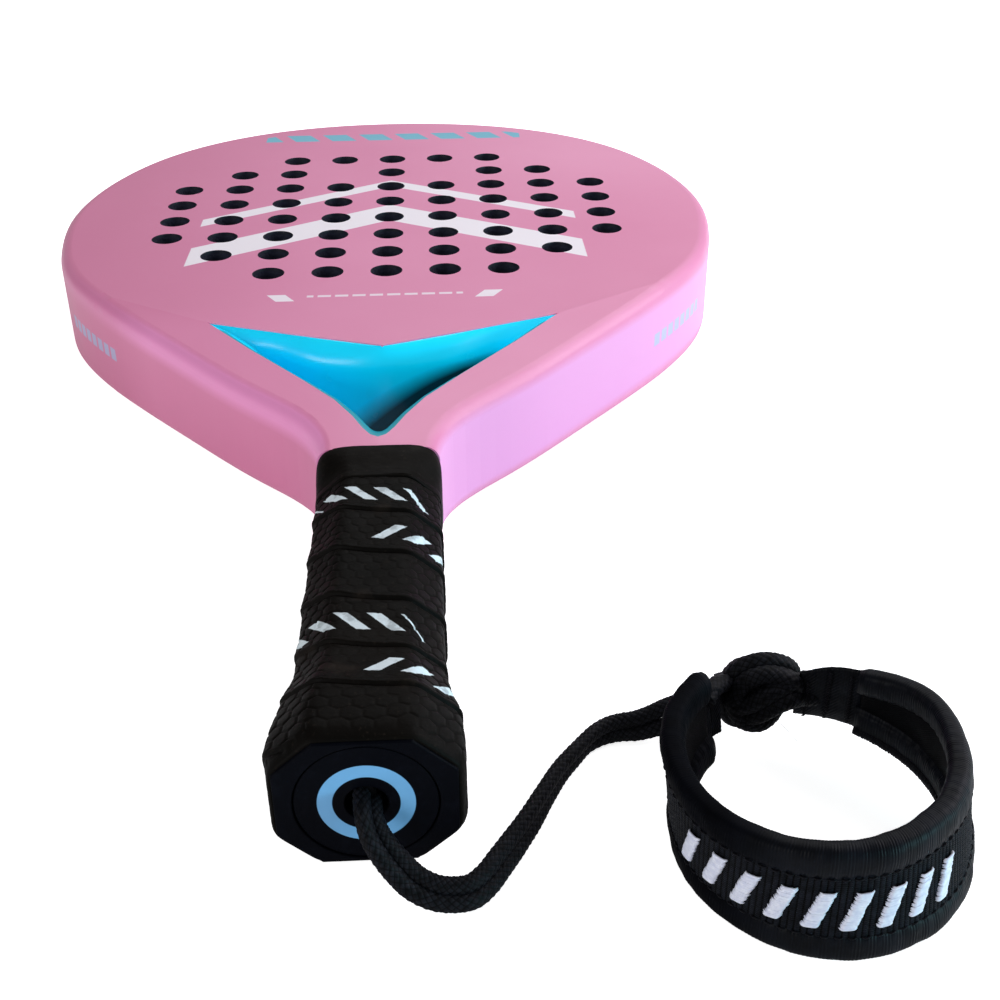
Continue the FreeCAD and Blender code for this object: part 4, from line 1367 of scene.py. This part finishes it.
def add_tab_cord():
    """Twin cord from the knot to the left tab."""
    line, line_arc = spline([(87, 37.5, -5.6), (83, 36.6, -4.0), (79.6, 34.4, -1.8),
                             (76.6, 31.0, -0.6), (74.6, 27.6, -0.8)], 0.3)
    axes = frames(line)
    tubes = [tube(line + axes[2] * (side * 1.9), line_arc + side, 2.2, 44, plait,
                  flat=0.85, axes=axes) for side in (1, -1)]
    obj = tubes_object("tab_cord_left", tubes, "cord")
    blend(obj)
    attach(obj)


add_tab_cord()


# ---------------------------------------------------------------- stage, in metres
def floor_white(mat):
    cloud = mat.noise(scale=2.0, detail=2.0)
    camera_ray = Value(mat, mat.put("ShaderNodeLightPath").outputs["Is Camera Ray"])
    mat.surface(Base_Color=mat.mix(cloud, (0.92, 0.92, 0.925, 1.0), (0.94, 0.94, 0.94, 1.0)),
                Roughness=0.9, Specular_IOR_Level=0.1, Emission_Color=(1, 1, 1, 1),
                Emission_Strength=camera_ray * 0.74 + 0.10)


def add_floor():
    half = 7.0
    z = -HEAD_HALF * MM
    white = material("floor_white", floor_white)
    mesh = bpy.data.meshes.new("floor")
    mesh.from_pydata([(-half, -half, z), (half, -half, z), (half, half, z), (-half, half, z)],
                     [], [(0, 1, 2, 3)])
    mesh.materials.append(white)
    floor = bpy.data.objects.new("floor", mesh)
    bpy.context.scene.collection.objects.link(floor)


def add_world():
    world = bpy.data.worlds.new("studio")
    world.use_nodes = True
    background = world.node_tree.nodes["Background"]
    background.inputs["Color"].default_value = (1.0, 1.0, 1.0, 1)
    background.inputs["Strength"].default_value = 0.24
    bpy.context.scene.world = world


# name, place, target, size, watts, colour
LIGHTS = [
    ("key_right", (0.86, 0.30, 0.52), (0.05, 0.2, 0.0), (0.7, 0.7), 7.2, (0.98, 0.94, 1.0)),
    ("violet_right", (1.2, -0.45, 0.08), (0.05, 0.15, 0.0), (0.6, 0.3), 12.0, (0.42, 0.90, 1.0)),
    ("top_back", (0.35, 1.05, 0.9), (0.0, 0.25, 0.0), (1.2, 0.6), 6.5, (0.97, 0.985, 1.0)),
    ("high_left", (-1.0, -0.75, 0.45), (0.0, 0.15, 0.0), (0.6, 0.6), 8.0, (1, 1, 1)),
]


def add_light(name, place, target, size, watts, colour):
    data = bpy.data.lights.new(name, "AREA")
    data.shape = "RECTANGLE"
    data.size, data.size_y = size
    data.energy = watts
    data.color = colour
    light = bpy.data.objects.new(name, data)
    light.location = place
    light.rotation_mode = "QUATERNION"
    light.rotation_quaternion = (Vector(target) - Vector(place)).to_track_quat("-Z", "Y")
    bpy.context.scene.collection.objects.link(light)


CAMERA_PLACE = (0.01777, -0.20410, 0.19316)
CAMERA_RIGHT = (0.998552, -0.053398, -0.006461)
CAMERA_UP = (0.032865, 0.510619, 0.859179)
CAMERA_BACK = (-0.042579, -0.858147, 0.511635)


def add_camera():
    data = bpy.data.cameras.new("camera")
    data.sensor_width = 36.0
    data.lens = 47.94336
    data.clip_start = 0.01
    data.clip_end = 50.0
    camera = bpy.data.objects.new("camera", data)
    bpy.context.scene.collection.objects.link(camera)
    camera.matrix_world = Matrix((*zip(CAMERA_RIGHT, CAMERA_UP, CAMERA_BACK, CAMERA_PLACE),
                                  (0, 0, 0, 1)))
    bpy.context.scene.camera = camera


add_floor()
add_world()
for light_row in LIGHTS:
    add_light(*light_row)
add_camera()
bpy.context.scene.view_settings.view_transform = "Standard"
bpy.context.scene.view_settings.look = "None"
